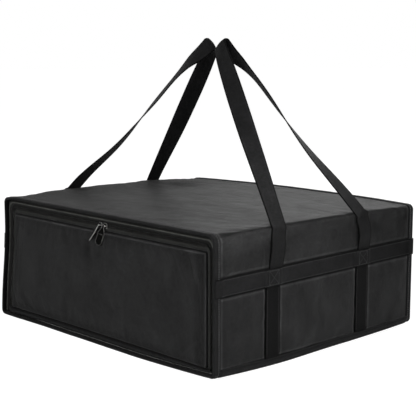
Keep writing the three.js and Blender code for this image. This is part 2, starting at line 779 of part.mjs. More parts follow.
// A whole handle: up one leg, round a tight bend and down the other leg.
function handle(side, tip) {
  const legs = [-1, 1].map((end) => legOnBag(side, end, tip));
  const [near, far] = legs.map((leg) => leg.at(-1).place);
  const nearWay = tip.clone().sub(near).normalize();
  const farWay = tip.clone().sub(far).normalize();
  const axis = nearWay.clone().add(farWay).normalize();
  const across = far.clone().sub(near);
  across.addScaledVector(axis, -across.dot(axis)).normalize();
  const halfAngle = nearWay.angleTo(farWay) / 2;
  const bendCentre = tip.clone().addScaledVector(axis, -handleBendRadius / Math.sin(halfAngle));
  const reach = Math.PI / 2 - halfAngle;
  const bend = spread(-reach, reach, 8).map((turn) => {
    const normal = axis.clone().multiplyScalar(Math.cos(turn)).addScaledVector(across, Math.sin(turn));
    return { place: bendCentre.clone().addScaledVector(normal, handleBendRadius), normal };
  });
  const halves = legs.map((leg, i) => {
    const bendEnd = i === 0 ? bend[0] : bend.at(-1);
    const last = leg.at(-1);
    return [...leg.slice(0, -1), ...freeLeg(last.place, bendEnd.place, last.normal, bendEnd.normal)];
  });
  const stations = [...halves[0], ...bend.slice(1, -1), ...halves[1].reverse()];
  stations.forEach((station, i) => {
    const before = stations[Math.max(i - 1, 0)].place;
    const after = stations[Math.min(i + 1, stations.length - 1)].place;
    station.along = after.clone().sub(before).normalize();
  });
  stations[0].along.set(0, 0, 1);
  stations.at(-1).along.set(0, 0, -1);
  return strip(stations);
}

const tipHeight = bagHeight + handleReach;
const rightTip = new THREE.Vector3(rightTipShare * halfWidth, 0, tipHeight);
const leftTip = new THREE.Vector3(leftTipShare * halfWidth, leftTipDepthShare * halfDepth, tipHeight);

// The assembly

const body = new THREE.Group();
bag.add(body);
addPiece("outer_wrap", outerWrap(), outerCloth, body);
addPiece("base_panel", basePanel(), outerCloth, body);
addPiece("back_panel", backPanel(), outerCloth, body);
addPiece("top_foam", topFoam(), foam, body);
addPiece("left_foam", sideFoam(-1), foam, body);
addPiece("right_foam", sideFoam(1), foam, body);
addPiece("base_foam", baseFoam(), foam, body);
addPiece("back_foam", backFoam(), foam, body);
addPiece("foil_liner", foilLiner(), foil, body);
addPiece("front_rim_binding", edgeBinding(-1), bindingTape, body);
addPiece("back_binding", edgeBinding(1), bindingTape, body);
addPiece("left_base_binding", baseBinding(-1), bindingTape, body);
addPiece("right_base_binding", baseBinding(1), bindingTape, body);
addPiece("flap_hinge", flapHinge(), bindingTape, body);
addPiece("body_zip_tape", bodyZipTape(), zipTape, body);
addPiece("body_zip_coil", zipCoilBand(bodyCoilStart, bodyCoilEnd), zipCoil, body);

const flap = new THREE.Group();
bag.add(flap);
addPiece("flap_cover", flapCover(), outerCloth, flap);
addPiece("flap_foam", flapFoam(), foam, flap);
addPiece("flap_liner", flapLiner(), foil, flap);
addPiece("flap_zip_tape", flapZipTape(), zipTape, flap);
addPiece("flap_zip_coil", zipCoilBand(coilStart, flapCoilEnd), zipCoil, flap);

for (const [name, side, lean] of [
  ["left", -1, leftPullLeanDegrees],
  ["right", 1, rightPullLeanDegrees],
]) {
  const set = new THREE.Group();
  set.position.x = (side * sliderSpacing) / 2;
  flap.add(set);
  addPiece(name + "_zip_slider", zipSlider(), blackMetal, set);
  const pull = addPiece(name + "_zip_pull", zipPull(lean), blackMetal, set);
  pull.position.set(0, -barMiddle, zipHeight);
}

for (const [name, side, tip] of [
  ["left", -1, leftTip],
  ["right", 1, rightTip],
]) {
  addPiece(name + "_side_band", sideBand(side), webbing);
  addPiece(name + "_front_strap", lowerStrap(side, -1), webbing);
  addPiece(name + "_back_strap", lowerStrap(side, 1), webbing);
  addPiece(name + "_handle", handle(side, tip), webbing);
}

export default bag;
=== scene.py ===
# %% [markdown]
# # A soft bag for flat boxes of hot food
# The real bag is a shallow box of foam boards, sewn into a black coated cloth.
# Its whole front is a padded flap with a zip round three sides, and it is carried by two long webbing handles.
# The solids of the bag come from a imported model, and this lesson dresses them: each cloth, tape, strap, coil and
# thread is made as the real one is cut or sewn, in the place that its solid gives it.
# All lengths are in metres.

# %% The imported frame
import math

import bmesh
import bpy
from mathutils import Matrix, Vector, noise


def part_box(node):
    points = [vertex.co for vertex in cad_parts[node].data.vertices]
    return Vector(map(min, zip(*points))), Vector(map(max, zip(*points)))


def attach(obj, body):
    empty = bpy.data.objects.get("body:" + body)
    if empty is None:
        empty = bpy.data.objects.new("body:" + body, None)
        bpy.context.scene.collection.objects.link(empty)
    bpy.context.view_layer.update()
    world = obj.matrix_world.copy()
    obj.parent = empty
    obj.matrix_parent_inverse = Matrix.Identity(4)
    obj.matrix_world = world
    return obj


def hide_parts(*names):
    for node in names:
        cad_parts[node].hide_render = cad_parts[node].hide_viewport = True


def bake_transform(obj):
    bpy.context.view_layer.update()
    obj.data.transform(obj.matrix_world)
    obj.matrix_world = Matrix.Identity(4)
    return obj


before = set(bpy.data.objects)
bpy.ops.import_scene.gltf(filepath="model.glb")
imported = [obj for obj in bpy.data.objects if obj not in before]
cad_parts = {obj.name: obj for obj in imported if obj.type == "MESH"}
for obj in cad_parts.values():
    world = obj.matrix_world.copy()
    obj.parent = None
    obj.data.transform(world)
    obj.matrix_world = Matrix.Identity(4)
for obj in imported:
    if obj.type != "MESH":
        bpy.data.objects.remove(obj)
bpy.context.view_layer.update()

# %% [markdown]
# ## The camera
# The photograph was taken from a little above the lid, off the bag's front right corner, with a long lens.
# The place and the focal length come from fitting the bag's corners, so the lens has no shift and no blur.

# %% Camera
LENS_SHARE = 2.4408
SENSOR = 36.0
CAMERA_PLACE = Vector((1.1563, -1.0700, 0.4139))
CAMERA_AIM = Vector((-0.4353, 0.4143, 0.0914))

lens = bpy.data.cameras.new("photo_camera")
lens.sensor_width = SENSOR
lens.lens = LENS_SHARE * SENSOR
camera = bpy.data.objects.new("photo_camera", lens)
bpy.context.scene.collection.objects.link(camera)
camera.location = CAMERA_PLACE
camera.rotation_euler = (CAMERA_AIM - CAMERA_PLACE).to_track_quat("-Z", "Y").to_euler()
bpy.context.scene.camera = camera
print("focal length", round(lens.lens, 1), "mm")

# %% [markdown]
# ## The sizes that the cloth is cut to
# The wrap of cloth lies on foam boards, so its section is a box with two soft folds at the top.
# The boxes of the solids give the outer sizes, and the small ones below are those of the sewing. The solids' folds
# are 16 mm round and lengths round the bag are counted on them, but the cloth's own crease is tighter.

# %% Sizes of the bag
HALF_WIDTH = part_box("outer_wrap")[1].x
HALF_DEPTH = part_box("back_binding")[1].y
BAG_HEIGHT = 0.190
FOLD_RADIUS = 0.016
CREASE_RADIUS = 0.0058
FOLD_X = HALF_WIDTH - FOLD_RADIUS
FOLD_Z = BAG_HEIGHT - FOLD_RADIUS
FOOT_RADIUS = 0.007
TOP_CROWN = 0.005
CORNER_LIFT = 0.005
EDGE_RISE = 0.0012
CLOTH = 0.0012
GAP = 0.0003
BINDING_DEPTH = 0.012
TAPE_EDGE = HALF_DEPTH - 0.0102
TAPE_FRONT = 0.203

flap_low, flap_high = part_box("flap_cover")
FLAP_X, FLAP_FOOT, FLAP_TOP = flap_high.x, flap_low.z, flap_high.z
FLAP_FACE = 0.2065
FLAP_BACK = 0.1972

WEBBING = 0.0016
STRAP_MIDDLE = GAP + WEBBING / 2
WEBBING_WIDTH = 0.0266
BAND_WIDTH = 0.0246
BAND_FOOT = 0.1195 - BAND_WIDTH / 2
BAND_TOP = BAND_FOOT + BAND_WIDTH
BAND_MIDDLE = (BAND_FOOT + BAND_TOP) / 2
STRAPS = {-1: -0.1030, 1: 0.0855}
print("bag", HALF_WIDTH * 2, "x", HALF_DEPTH * 2, "x", BAG_HEIGHT)

# %% [markdown]
# ## One line round the bag
# Everything sewn to the cover follows the same line: up a side, over the lid and down again.
# `round_the_bag` walks that line by its length from the middle of the lid, so that a cloth laid along it is neither
# stretched nor squeezed. It returns the place and the direction that faces out.

# %% The line round the bag
def smooth(value, start, end):
    share = min(max((value - start) / (end - start), 0.0), 1.0)
    return share * share * (3 - 2 * share)


def bump(value, centre, width):
    return math.exp(-(((value - centre) / width) ** 2))


def along_bag(y):
    return min(max(y / (HALF_DEPTH - BINDING_DEPTH), -1.0), 1.0)


def floor_height(x, y):
    """The corners and the right side's middle stand a little off the floor; the front left corner has settled."""
    def rise(share):
        return min(max((abs(share) - 0.3) / 0.7, 0.0), 1.0) ** 1.5

    settled = 0.9 * smooth(-x / HALF_WIDTH, 0.2, 0.9) * smooth(-along_bag(y), 0.2, 0.9)
    right = 0.0028 * smooth(x / HALF_WIDTH, 0.5, 0.95) * bump(y, 0.06, 0.12)
    return CORNER_LIFT * (1 - settled) * rise(x / (HALF_WIDTH - BINDING_DEPTH)) * rise(along_bag(y)) + right


def top_height(x, y):
    across = max(0.0, 1 - (x / FOLD_X) ** 2)
    return BAG_HEIGHT + TOP_CROWN * across * (along_bag(y) + 1) / 2


FOLD_LENGTH = FOLD_RADIUS * math.pi / 2
WALL_LENGTH = FOLD_Z - FOOT_RADIUS
FOOT_LENGTH = FOOT_RADIUS * math.pi / 2
WALL_START = FOLD_X + FOLD_LENGTH
FOOT_START = WALL_START + WALL_LENGTH
BASE_START = FOOT_START + FOOT_LENGTH
HALF_ROUND = BASE_START + HALF_WIDTH - FOOT_RADIUS


def rim_fold(side, y):
    """The front's right corner has been pushed rounder than the other three."""
    return 0.0125 if side > 0 and y < 0 else 0.0075


def fold_radius(side, y):
    towards_rim = smooth(abs(y), HALF_DEPTH - 0.045, HALF_DEPTH - 0.014)
    return CREASE_RADIUS + (rim_fold(side, y) - CREASE_RADIUS) * towards_rim


def round_the_bag(s, y):
    side = 1 if s >= 0 else -1
    a = abs(s)
    radius = fold_radius(side, y)
    if a <= FOLD_X:
        x = a * (HALF_WIDTH - radius) / FOLD_X
        z, out = top_height(a, y), (0.0, 1.0)
    elif a <= WALL_START:
        turn = (a - FOLD_X) / FOLD_RADIUS
        out = (math.sin(turn), math.cos(turn))
        x, z = HALF_WIDTH - radius + radius * out[0], BAG_HEIGHT - radius + radius * out[1]
    elif a <= FOOT_START:
        x, out = HALF_WIDTH, (1.0, 0.0)
        z = FOOT_RADIUS + (FOOT_START - a) / WALL_LENGTH * (BAG_HEIGHT - radius - FOOT_RADIUS)
    elif a <= BASE_START:
        turn = (a - FOOT_START) / FOOT_RADIUS
        out = (math.cos(turn), -math.sin(turn))
        x, z = HALF_WIDTH - FOOT_RADIUS + FOOT_RADIUS * out[0], FOOT_RADIUS + FOOT_RADIUS * out[1]
    else:
        x, z, out = HALF_WIDTH - FOOT_RADIUS - (a - BASE_START), 0.0, (0.0, -1.0)
    z += (floor_height(side * x, y) + EDGE_RISE) * (1 - smooth(z, 0.0, 0.1))
    return Vector((side * x, y, z)), Vector((side * out[0], 0.0, out[1]))


def wall_place(side, z, y):
    """How far along the line a side's wall reaches a height."""
    return FOOT_START - (z - FOOT_RADIUS) * WALL_LENGTH / (BAG_HEIGHT - fold_radius(side, y) - FOOT_RADIUS)


print("line round the bag:", round(2 * HALF_ROUND, 3), "m")

# %% [markdown]
# ## How the cloth lies
# Foam boards keep the cover flat, but no sewn cloth is quite flat. Its edges are drawn in by the bindings, the
# straps press it down, and between them it swells a little. Just under the lid's fold the side is drawn in, because
# the lid's board pushes the fold out over it. `stand_off` says how far the cloth stands out from the plain line.

# %% How far the cloth stands out
def strap_gap(y):
    """Distance from the nearest upright strap's edge; negative under the strap."""
    return min(abs(y - strap_y) for strap_y in STRAPS.values()) - WEBBING_WIDTH / 2


def band_gap(z):
    return abs(z - BAND_MIDDLE) - BAND_WIDTH / 2


def slow_noise(x, y, z, size, seed=0.0):
    return noise.noise(Vector((x / size + seed, y / size - seed, z / size + 2 * seed)))


def pillow(gap, near, far):
    """A swelling that rises steeply beside a seam and slowly after it."""
    return 0.6 * smooth(gap, 0.0006, near) + 0.4 * smooth(gap, near * 0.5, far)


def stand_off(s, y):
    point = round_the_bag(s, y)[0]
    a = abs(s)
    edge = 1 - smooth(abs(y), HALF_DEPTH - 0.022, HALF_DEPTH - 0.0135)
    wall = smooth(a, WALL_START - 0.004, WALL_START + 0.004)
    from_seam = min(max(strap_gap(y), 0.0), max(band_gap(point.z), 0.0))
    if point.z < BAND_FOOT:
        swell = 0.0021 * pillow(min(from_seam, max(point.z - 0.0135, 0.0)), 0.005, 0.030)
    else:
        swell = 0.0011 * pillow(from_seam, 0.005, 0.022) * (1 - smooth(point.z, 0.150, 0.168))
    drawn = 0.0012 * bump(point.z, 0.168, 0.007) * (1 - 0.6 * bump(strap_gap(y), -0.0125, 0.014))
    fold = 0.0007 * bump(a, FOLD_X + FOLD_LENGTH * 0.5, 0.010)
    lid = 1 - smooth(a, FOLD_X - 0.010, FOLD_X + 0.004)
    ripple = 0.0012 * slow_noise(point.x, y * 1.5, 0.0, 0.085, 3.1)
    ripple += 0.0004 * slow_noise(point.x, y * 2.0, 0.0, 0.028, 7.7)
    tilt = 0.0018 * smooth(-point.x, 0.12, 0.22) * (1 - smooth(abs(y), 0.14, 0.2))
    return edge * (wall * (swell - drawn) + fold + lid * (ripple + tilt))


def on_cover(s, y):
    point, out = round_the_bag(s, y)
    return point + out * stand_off(s, y)


# %% [markdown]
# ## Making a piece
# Most pieces here are sheets: a grid of faces, each of whose points is carried to its place on the bag.
# The grid's own square gives the UV map, in metres of cloth, so that a weave keeps one size on every piece.
# A Solidify modifier then gives the sheet its thickness. `settle` moves the points of every piece alike, so nothing
# comes apart where the bag has spread or been drawn up.

# %% Helpers for pieces
def settle(point):
    """The bag has stood and been carried: its front left foot has spread, the left handle has drawn the lid up, and
    the front and the right side stand a little taller than their pattern."""
    left = smooth(-point.x, 0.02, 0.25)
    spread_out = left * smooth(-point.y, 0.04, 0.21) * (1 - smooth(point.z, 0.0, 0.15))
    point.x -= 0.0100 * spread_out
    point.y -= 0.0040 * spread_out
    point.z += 0.0045 * smooth(-point.x, 0.13, 0.24) * bump(point.y, 0.04, 0.12) * smooth(point.z, 0.13, 0.185)
    x, y, z = point
    ahead, right = 1 - smooth(y, -0.15, 0.10), smooth(x, 0.05, 0.20)
    front_lid = 0.0036 - 0.003 * x - 0.0025 * smooth(-x, 0.215, 0.245)
    right_lid = right * 0.0032 * (1 - 0.75 * smooth(y, 0.06, 0.19))
    lid = ahead * front_lid + (1 - ahead) * right_lid
    on_front = smooth(-y, 0.15, 0.20) * (1 - smooth(x, 0.20, 0.245))
    wall = on_front * 0.0026 + (1 - on_front) * smooth(x, -0.10, 0.20) * (0.0057 + 0.009 * y)
    over = smooth(z, 0.165, 0.188)
    point.z += wall * smooth(z, 0.010, 0.105) * (1 - over) + lid * over * (1 - smooth(z, 0.21, 0.32))
    flap_edge = smooth(x, 0.12, 0.212) * (1 - smooth(x, 0.216, 0.243))
    point.x += 0.0055 * flap_edge * smooth(-y, 0.18, 0.195)


def into_scene(name, mesh, finish):
    for vert in mesh.verts:
        settle(vert.co)
    for face in mesh.faces:
        face.smooth = True
    data = bpy.data.meshes.new(name)
    mesh.to_mesh(data)
    mesh.free()
    data.materials.append(finish)
    piece = bpy.data.objects.new(name, data)
    bpy.context.scene.collection.objects.link(piece)
    return piece


def drawn_together(count, lines):
    """Shares of a length at which a grid's lines lie, up to four times as close round each (middle, width)."""
    def density(t):
        return 1 + 3 * max(bump(t, middle, width) for middle, width in lines)

    samples = 4000
    sums = [0.0]
    for k in range(samples):
        sums.append(sums[-1] + density((k + 0.5) / samples))
    shares, k = [], 0
    for i in range(count + 1):
        wanted = sums[-1] * i / count
        while k < samples - 1 and sums[k + 1] < wanted:
            k += 1
        shares.append((k + (wanted - sums[k]) / (sums[k + 1] - sums[k])) / samples)
    shares[0], shares[-1] = 0.0, 1.0
    return shares


def sheet_mesh(steps, place, flat, closed=False, shade=None, shares=None):
    """A grid of faces whose points `place` carries to the bag, with its UV map in metres and a Shade of painted light.
    """
    mesh = bmesh.new()
    bmesh.ops.create_grid(mesh, x_segments=steps[0], y_segments=steps[1], size=0.5)
    cloth = mesh.loops.layers.uv.new("Cloth")
    tone = mesh.verts.layers.float.new("Shade")
    if shares:
        for vert in mesh.verts:
            for axis in range(2):
                vert.co[axis] = shares[axis][round((vert.co[axis] + 0.5) * steps[axis])] - 0.5
    for face in mesh.faces:
        for loop in face.loops:
            loop[cloth].uv = ((loop.vert.co.x + 0.5) * flat[0], (loop.vert.co.y + 0.5) * flat[1])
    for vert in mesh.verts:
        u, v = vert.co.x + 0.5, vert.co.y + 0.5
        vert[tone] = shade(u, v) if shade else 1.0
        vert.co = place(u, v)
    if closed:
        bmesh.ops.remove_doubles(mesh, verts=mesh.verts, dist=1e-5)
    return mesh


def thicken(piece, thickness, offset=-1.0):
    wall = piece.modifiers.new("thickness", "SOLIDIFY")
    wall.thickness = thickness
    wall.offset = offset


def round_edges(piece, width, segments, degrees):
    edge = piece.modifiers.new("edge", "BEVEL")
    edge.width = width
    edge.segments = segments
    edge.limit_method = "ANGLE"
    edge.angle_limit = math.radians(degrees)


def stands_for(piece, node, body, thickness=None):
    """Gives a piece its thickness, hides the solid that it stands for and sets it on the body that it moves with."""
    if thickness:
        thicken(piece, thickness)
    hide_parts(node)
    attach(piece, body)


def walked(steps, at):
    """A line of (point, normal): what `at` gives at even shares from 0 to 1."""
    return [at(k / steps) for k in range(steps + 1)]


# %% [markdown]
# ## Finishes
# Every cloth of this bag is black, so what tells them apart is how they are woven and how they take the light:
# a fine plain weave with a thin coat on the cover, a herringbone along the webbing, ribs across the binding tape.
# The weaves are small waves of the UV map's metres that raise the surface. A slow noise makes the dye uneven, and a
# finer one roughens single yarns.

# %% Node helpers
def new_finish(name, colour, roughness, metallic=0.0, specular=0.5, sheen=0.0):
    finish = bpy.data.materials.new(name)
    finish.use_nodes = True
    shader = finish.node_tree.nodes["Principled BSDF"]
    shader.inputs["Base Color"].default_value = (*colour, 1)
    shader.inputs["Roughness"].default_value = roughness
    shader.inputs["Metallic"].default_value = metallic
    shader.inputs["Specular IOR Level"].default_value = specular
    shader.inputs["Sheen Weight"].default_value = sheen
    return finish, finish.node_tree, shader


def maths(tree, operation, *values):
    node = tree.nodes.new("ShaderNodeMath")
    node.operation = operation
    for socket, value in zip(node.inputs, values):
        if isinstance(value, (int, float)):
            socket.default_value = value
        else:
            tree.links.new(value, socket)
    return node.outputs[0]


def noise_of(tree, vector, scale, detail=3.0, rough=0.6):
    node = tree.nodes.new("ShaderNodeTexNoise")
    node.inputs["Scale"].default_value = scale
    node.inputs["Detail"].default_value = detail
    node.inputs["Roughness"].default_value = rough
    tree.links.new(vector, node.inputs["Vector"])
    return node.outputs["Fac"]


def stretched(tree, vector, scale):
    node = tree.nodes.new("ShaderNodeMapping")
    node.inputs["Scale"].default_value = scale
    tree.links.new(vector, node.inputs["Vector"])
    return node.outputs["Vector"]


def ramp(tree, value, low, high, first, last):
    node = tree.nodes.new("ShaderNodeValToRGB")
    node.color_ramp.elements[0].position = low
    node.color_ramp.elements[1].position = high
    node.color_ramp.elements[0].color = (*first, 1)
    node.color_ramp.elements[1].color = (*last, 1)
    tree.links.new(value, node.inputs["Fac"])
    return node.outputs["Color"]


def raise_by(tree, shader, height, distance):
    node = tree.nodes.new("ShaderNodeBump")
    node.inputs["Distance"].default_value = distance
    tree.links.new(height, node.inputs["Height"])
    tree.links.new(node.outputs["Normal"], shader.inputs["Normal"])


def coloured(tree, shader, value, low, high, first, last):
    tree.links.new(ramp(tree, value, low, high, first, last), shader.inputs["Base Color"])


def dulled(tree, shader, value, by, least):
    tree.links.new(maths(tree, "MULTIPLY_ADD", value, by, least), shader.inputs["Roughness"])


def cloth_metres(tree):
    node = tree.nodes.new("ShaderNodeUVMap")
    node.uv_map = "Cloth"
    split = tree.nodes.new("ShaderNodeSeparateXYZ")
    tree.links.new(node.outputs["UV"], split.inputs["Vector"])
    return node.outputs["UV"], split.outputs["X"], split.outputs["Y"]


def waves(tree, value, pitch):
    return maths(tree, "SINE", maths(tree, "MULTIPLY", value, 2 * math.pi / pitch))


# %% [markdown]
# The cover is a plain weave of about sixteen yarns to the centimetre with a thin coat, which makes it matt when it
# is seen from in front and lighter at a glancing angle. The product of two waves is the over and under of the yarns.
# The ribs run along u or v, or as a herringbone of four columns on the webbing.

# %% Woven finishes
RIB_SHARE = 0.6


def own_shade(tree):
    """The piece's Shade: painted shade in seams, grooves and creases, and painted highlights along edges and ridges.
    """
    node = tree.nodes.new("ShaderNodeAttribute")
    node.attribute_name = "Shade"
    return node.outputs["Fac"]


def toned(tree, colour, socket):
    mix = tree.nodes.new("ShaderNodeMix")
    mix.data_type = "RGBA"
    mix.blend_type = "MULTIPLY"
    mix.inputs[0].default_value = 1.0
    tree.links.new(colour, mix.inputs[6])
    tree.links.new(own_shade(tree), mix.inputs[7])
    tree.links.new(mix.outputs[2], socket)


def ribbed(tree, u, v, direction, spacing):
    if direction == "herringbone":
        columns = maths(tree, "PINGPONG", u, WEBBING_WIDTH / 4)
        return waves(tree, maths(tree, "ADD", v, columns), spacing)
    return waves(tree, u if direction == "u" else v, spacing)


def woven_finish(name, colour, pitch, ribs, roughness, specular, sheen, depth):
    finish, tree, shader = new_finish(name, colour, roughness, specular=specular, sheen=sheen)
    metres, u, v = cloth_metres(tree)
    yarns = maths(tree, "MULTIPLY", waves(tree, u, pitch), waves(tree, v, pitch))
    if ribs:
        rib = maths(tree, "MULTIPLY", ribbed(tree, u, v, *ribs), RIB_SHARE)
        yarns = maths(tree, "ADD", maths(tree, "MULTIPLY", yarns, 1 - RIB_SHARE), rib)
    slubs = noise_of(tree, stretched(tree, metres, (60, 900, 1)), 1.0, 2.0)
    cross = noise_of(tree, stretched(tree, metres, (900, 60, 1)), 1.0, 2.0)
    fine = maths(tree, "ADD", slubs, cross)
    pebble = noise_of(tree, metres, 260.0, 3.0, 0.7)
    height = maths(tree, "ADD", maths(tree, "ADD", yarns, fine), maths(tree, "MULTIPLY", pebble, 3.0))
    raise_by(tree, shader, height, depth)
    cloud = noise_of(tree, metres, 22.0, 5.0, 0.65)
    speck = noise_of(tree, metres, 210.0, 2.0)
    mixed = maths(tree, "ADD", maths(tree, "MULTIPLY", cloud, 0.62), maths(tree, "MULTIPLY", speck, 0.28))
    mixed = maths(tree, "ADD", mixed, maths(tree, "MULTIPLY", fine, 0.05))
    dark, light = (tuple(c * by for c in colour) for by in (0.52, 1.62))
    # The Shade attribute paints light and shade into the cloth's colour.
    toned(tree, ramp(tree, mixed, 0.36, 0.64, dark, light), shader.inputs["Base Color"])
    worn = maths(tree, "MULTIPLY_ADD", noise_of(tree, metres, 45.0, 3.0), 0.22, roughness + 0.19)
    # Where Shade paints it darker, the cloth is also rougher.
    shade_gloss = maths(tree, "MULTIPLY", maths(tree, "MINIMUM", own_shade(tree), 1.0), 0.30)
    tree.links.new(maths(tree, "SUBTRACT", worn, shade_gloss), shader.inputs["Roughness"])
    return finish


cover_cloth = woven_finish(
    "cover_cloth", (0.0155, 0.0155, 0.0157), 0.0006, None, 0.50, 0.13, 0.05, 0.00005)
webbing_weave = woven_finish(
    "webbing_weave", (0.0062, 0.0062, 0.0064), 0.0009, ("herringbone", 0.0019), 0.66, 0.10, 0.03, 0.00009)
binding_weave = woven_finish(
    "binding_weave", (0.0056, 0.0056, 0.0059), 0.0008, ("u", 0.0012), 0.60, 0.16, 0.04, 0.00010)
zip_tape_weave = woven_finish(
    "zip_tape_weave", (0.0135, 0.0138, 0.0126), 0.0007, ("v", 0.0011), 0.62, 0.16, 0.04, 0.00008)
print("woven finishes:", [m.name for m in bpy.data.materials])

# %% [markdown]
# Thread, coil, metal, foil and foam each have one thing that gives them away: thread a soft gleam along its twist,
# the nylon coil a tight highlight, enamelled metal a clear one with rubbed edges, foil a crackle of bright facets
# and foam its small closed cells.

# %% Other finishes
def solid_finish(*looks, **more):
    """A finish that isn't woven, and the place in metres that its noises read."""
    finish, tree, shader = new_finish(*looks, **more)
    return finish, tree, shader, tree.nodes.new("ShaderNodeTexCoord").outputs["Object"]


def cells_of(tree, place, scale):
    node = tree.nodes.new("ShaderNodeTexVoronoi")
    node.inputs["Scale"].default_value = scale
    tree.links.new(place, node.inputs["Vector"])
    return node.outputs["Distance"]


def thread_finish(name, lighter):
    finish, tree, shader, place = solid_finish(name, (0.05, 0.05, 0.051), 0.5, specular=0.3, sheen=0.1)
    raise_by(tree, shader, noise_of(tree, place, 2600.0, 2.0), 0.00006)
    dark, light = [[c * lighter for c in colour] for colour in ((0.032, 0.032, 0.033), (0.068, 0.068, 0.069))]
    coloured(tree, shader, noise_of(tree, place, 300.0), 0.3, 0.7, dark, light)
    return finish


def coil_finish():
    finish, tree, shader, place = solid_finish("nylon_coil", (0.012, 0.012, 0.011), 0.4, specular=0.2)
    dulled(tree, shader, noise_of(tree, place, 500.0), 0.2, 0.24)
    dark, light = (0.010, 0.010, 0.0096), (0.022, 0.022, 0.0205)
    coloured(tree, shader, noise_of(tree, place, 60.0), 0.35, 0.65, dark, light)
    return finish


def enamel_finish():
    finish, tree, shader, place = solid_finish("black_enamel", (0.002, 0.002, 0.002), 0.30, specular=0.05)
    rubbed = noise_of(tree, place, 700.0, 5.0, 0.7)
    coloured(tree, shader, rubbed, 0.55, 0.75, (0.002, 0.002, 0.0018), (0.012, 0.0115, 0.008))
    dulled(tree, shader, rubbed, 0.25, 0.14)
    raise_by(tree, shader, noise_of(tree, place, 1500.0), 0.00002)
    return finish


def rubbed_finish():
    """The edges of the pulls, where the enamel has worn down to bright metal."""
    finish, tree, shader, place = solid_finish("rubbed_edge", (0.62, 0.62, 0.60), 0.3, metallic=1.0)
    worn = noise_of(tree, place, 900.0, 4.0, 0.7)
    coloured(tree, shader, worn, 0.3, 0.55, (0.10, 0.10, 0.095), (0.78, 0.78, 0.76))
    dulled(tree, shader, worn, 0.2, 0.2)
    return finish


def foil_finish():
    finish, tree, shader, place = solid_finish("foil_lining", (0.62, 0.63, 0.65), 0.28, metallic=0.9)
    crackle = maths(tree, "ADD", cells_of(tree, place, 70.0), noise_of(tree, place, 45.0, 5.0))
    raise_by(tree, shader, crackle, 0.0022)
    dulled(tree, shader, noise_of(tree, place, 25.0), 0.3, 0.16)
    return finish


def foam_finish():
    finish, tree, shader, place = solid_finish("closed_cell_foam", (0.74, 0.74, 0.71), 0.85, specular=0.3)
    raise_by(tree, shader, cells_of(tree, place, 900.0), 0.0004)
    coloured(tree, shader, noise_of(tree, place, 40.0), 0.3, 0.7, (0.66, 0.66, 0.63), (0.78, 0.78, 0.75))
    return finish


seam_thread = thread_finish("seam_thread", 1.7)
webbing_thread = thread_finish("webbing_thread", 0.6)
nylon_coil = coil_finish()
black_enamel = enamel_finish()
rubbed_edge = rubbed_finish()
foil_lining = foil_finish()
closed_cell_foam = foam_finish()
print("finishes:", len(bpy.data.materials))

# %% [markdown]
# ## The cover
# One long cloth makes the left side, the lid and the right side, as on the real bag, so it has no seam at its two
# folds. It could be five plates, but then the folds would be edges and the weave would break there. So it is one
# sheet that is walked along the line round the bag.

# %% Settling a cloth
TRIAL_FRAMES = 16
SLACK = 0.004
SINK = 0.0006


def settled(name, steps, place, flat, held, pressure, swell):
    """Lets Blender's cloth swell and wrinkle on a coarse grid, and returns how far it moves at any (u, v)."""
    mesh = sheet_mesh(steps, place, flat)
    data = bpy.data.meshes.new(name)
    mesh.to_mesh(data)
    mesh.free()
    trial = bpy.data.objects.new(name, data)
    bpy.context.scene.collection.objects.link(trial)
    start = [vert.co.copy() for vert in data.vertices]
    normals = [vert.normal.copy() for vert in data.vertices]
    sewn = trial.vertex_groups.new(name="sewn")
    for vert in data.vertices:
        sewn.add([vert.index], min(max(held(vert.co), 0.0), 1.0), "REPLACE")
    cloth = trial.modifiers.new("settling", "CLOTH")
    rules = cloth.settings
    rules.quality = 5
    rules.mass = 0.15
    rules.tension_stiffness = rules.compression_stiffness = 12
    rules.shear_stiffness = 6
    rules.bending_stiffness = 0.5
    rules.use_pressure = True
    rules.uniform_pressure_force = pressure
    rules.shrink_min = -SLACK
    rules.vertex_group_mass = "sewn"
    rules.effector_weights.gravity = 0
    cloth.point_cache.frame_start = 1
    cloth.point_cache.frame_end = TRIAL_FRAMES
    for moment in range(1, TRIAL_FRAMES + 1):
        bpy.context.scene.frame_set(moment)
    shaped = trial.evaluated_get(bpy.context.evaluated_depsgraph_get()).data
    moves = []
    for vert, at, normal in zip(shaped.vertices, start, normals):
        moves.append(normal * min(max((vert.co - at).dot(normal), -SINK), swell))
    bpy.context.scene.frame_set(1)
    bpy.data.objects.remove(trial)
    bpy.data.meshes.remove(data)
    print(name, "settled by up to", round(max(m.length for m in moves) * 1000, 2), "mm")
    across, along = steps

    def corner(i, j):
        return moves[j * (across + 1) + i]

    def moved(u, v):
        x, y = min(u * across, across - 1e-6), min(v * along, along - 1e-6)
        i, j = int(x), int(y)
        low = corner(i, j).lerp(corner(i + 1, j), x - i)
        return low.lerp(corner(i, j + 1).lerp(corner(i + 1, j + 1), x - i), y - j)

    return moved


# %% [markdown]
# The cover is sewn down at its front and back edges, along its base seams and under the straps and bands. These
# lines are held, and the cloth between them is a little longer than its way, so it wrinkles by itself.
# Painted highlights beside the seams and painted shade in them are what `cover_shade` writes on the cloth.
# The lines of its grid are drawn together at the folds and the seams, where that shade changes quickly.

# %% Wrap of cloth
WRAP_END = FOOT_START + 0.0015
WRAP_EDGE = HALF_DEPTH - 0.0012


def wrap_place(u, v):
    return on_cover((2 * u - 1) * WRAP_END, (2 * v - 1) * WRAP_EDGE)


def seam_tone(gap):
    """Painted shade right beside a seam, then a painted highlight line, then plain."""
    return 1.0 - 0.92 * (1 - smooth(gap, 0.0010, 0.0022)) + 1.7 * bump(gap, 0.0037, 0.0011)


# Painted shadows of the left handle's feet on the lid: the place along the line and along y, and the size both ways.
LID_HANDLE_SHADOWS = [(-0.196, 0.078, 0.022, 0.017), (-0.205, -0.070, 0.020, 0.020), (-0.17, 0.10, 0.03, 0.03)]


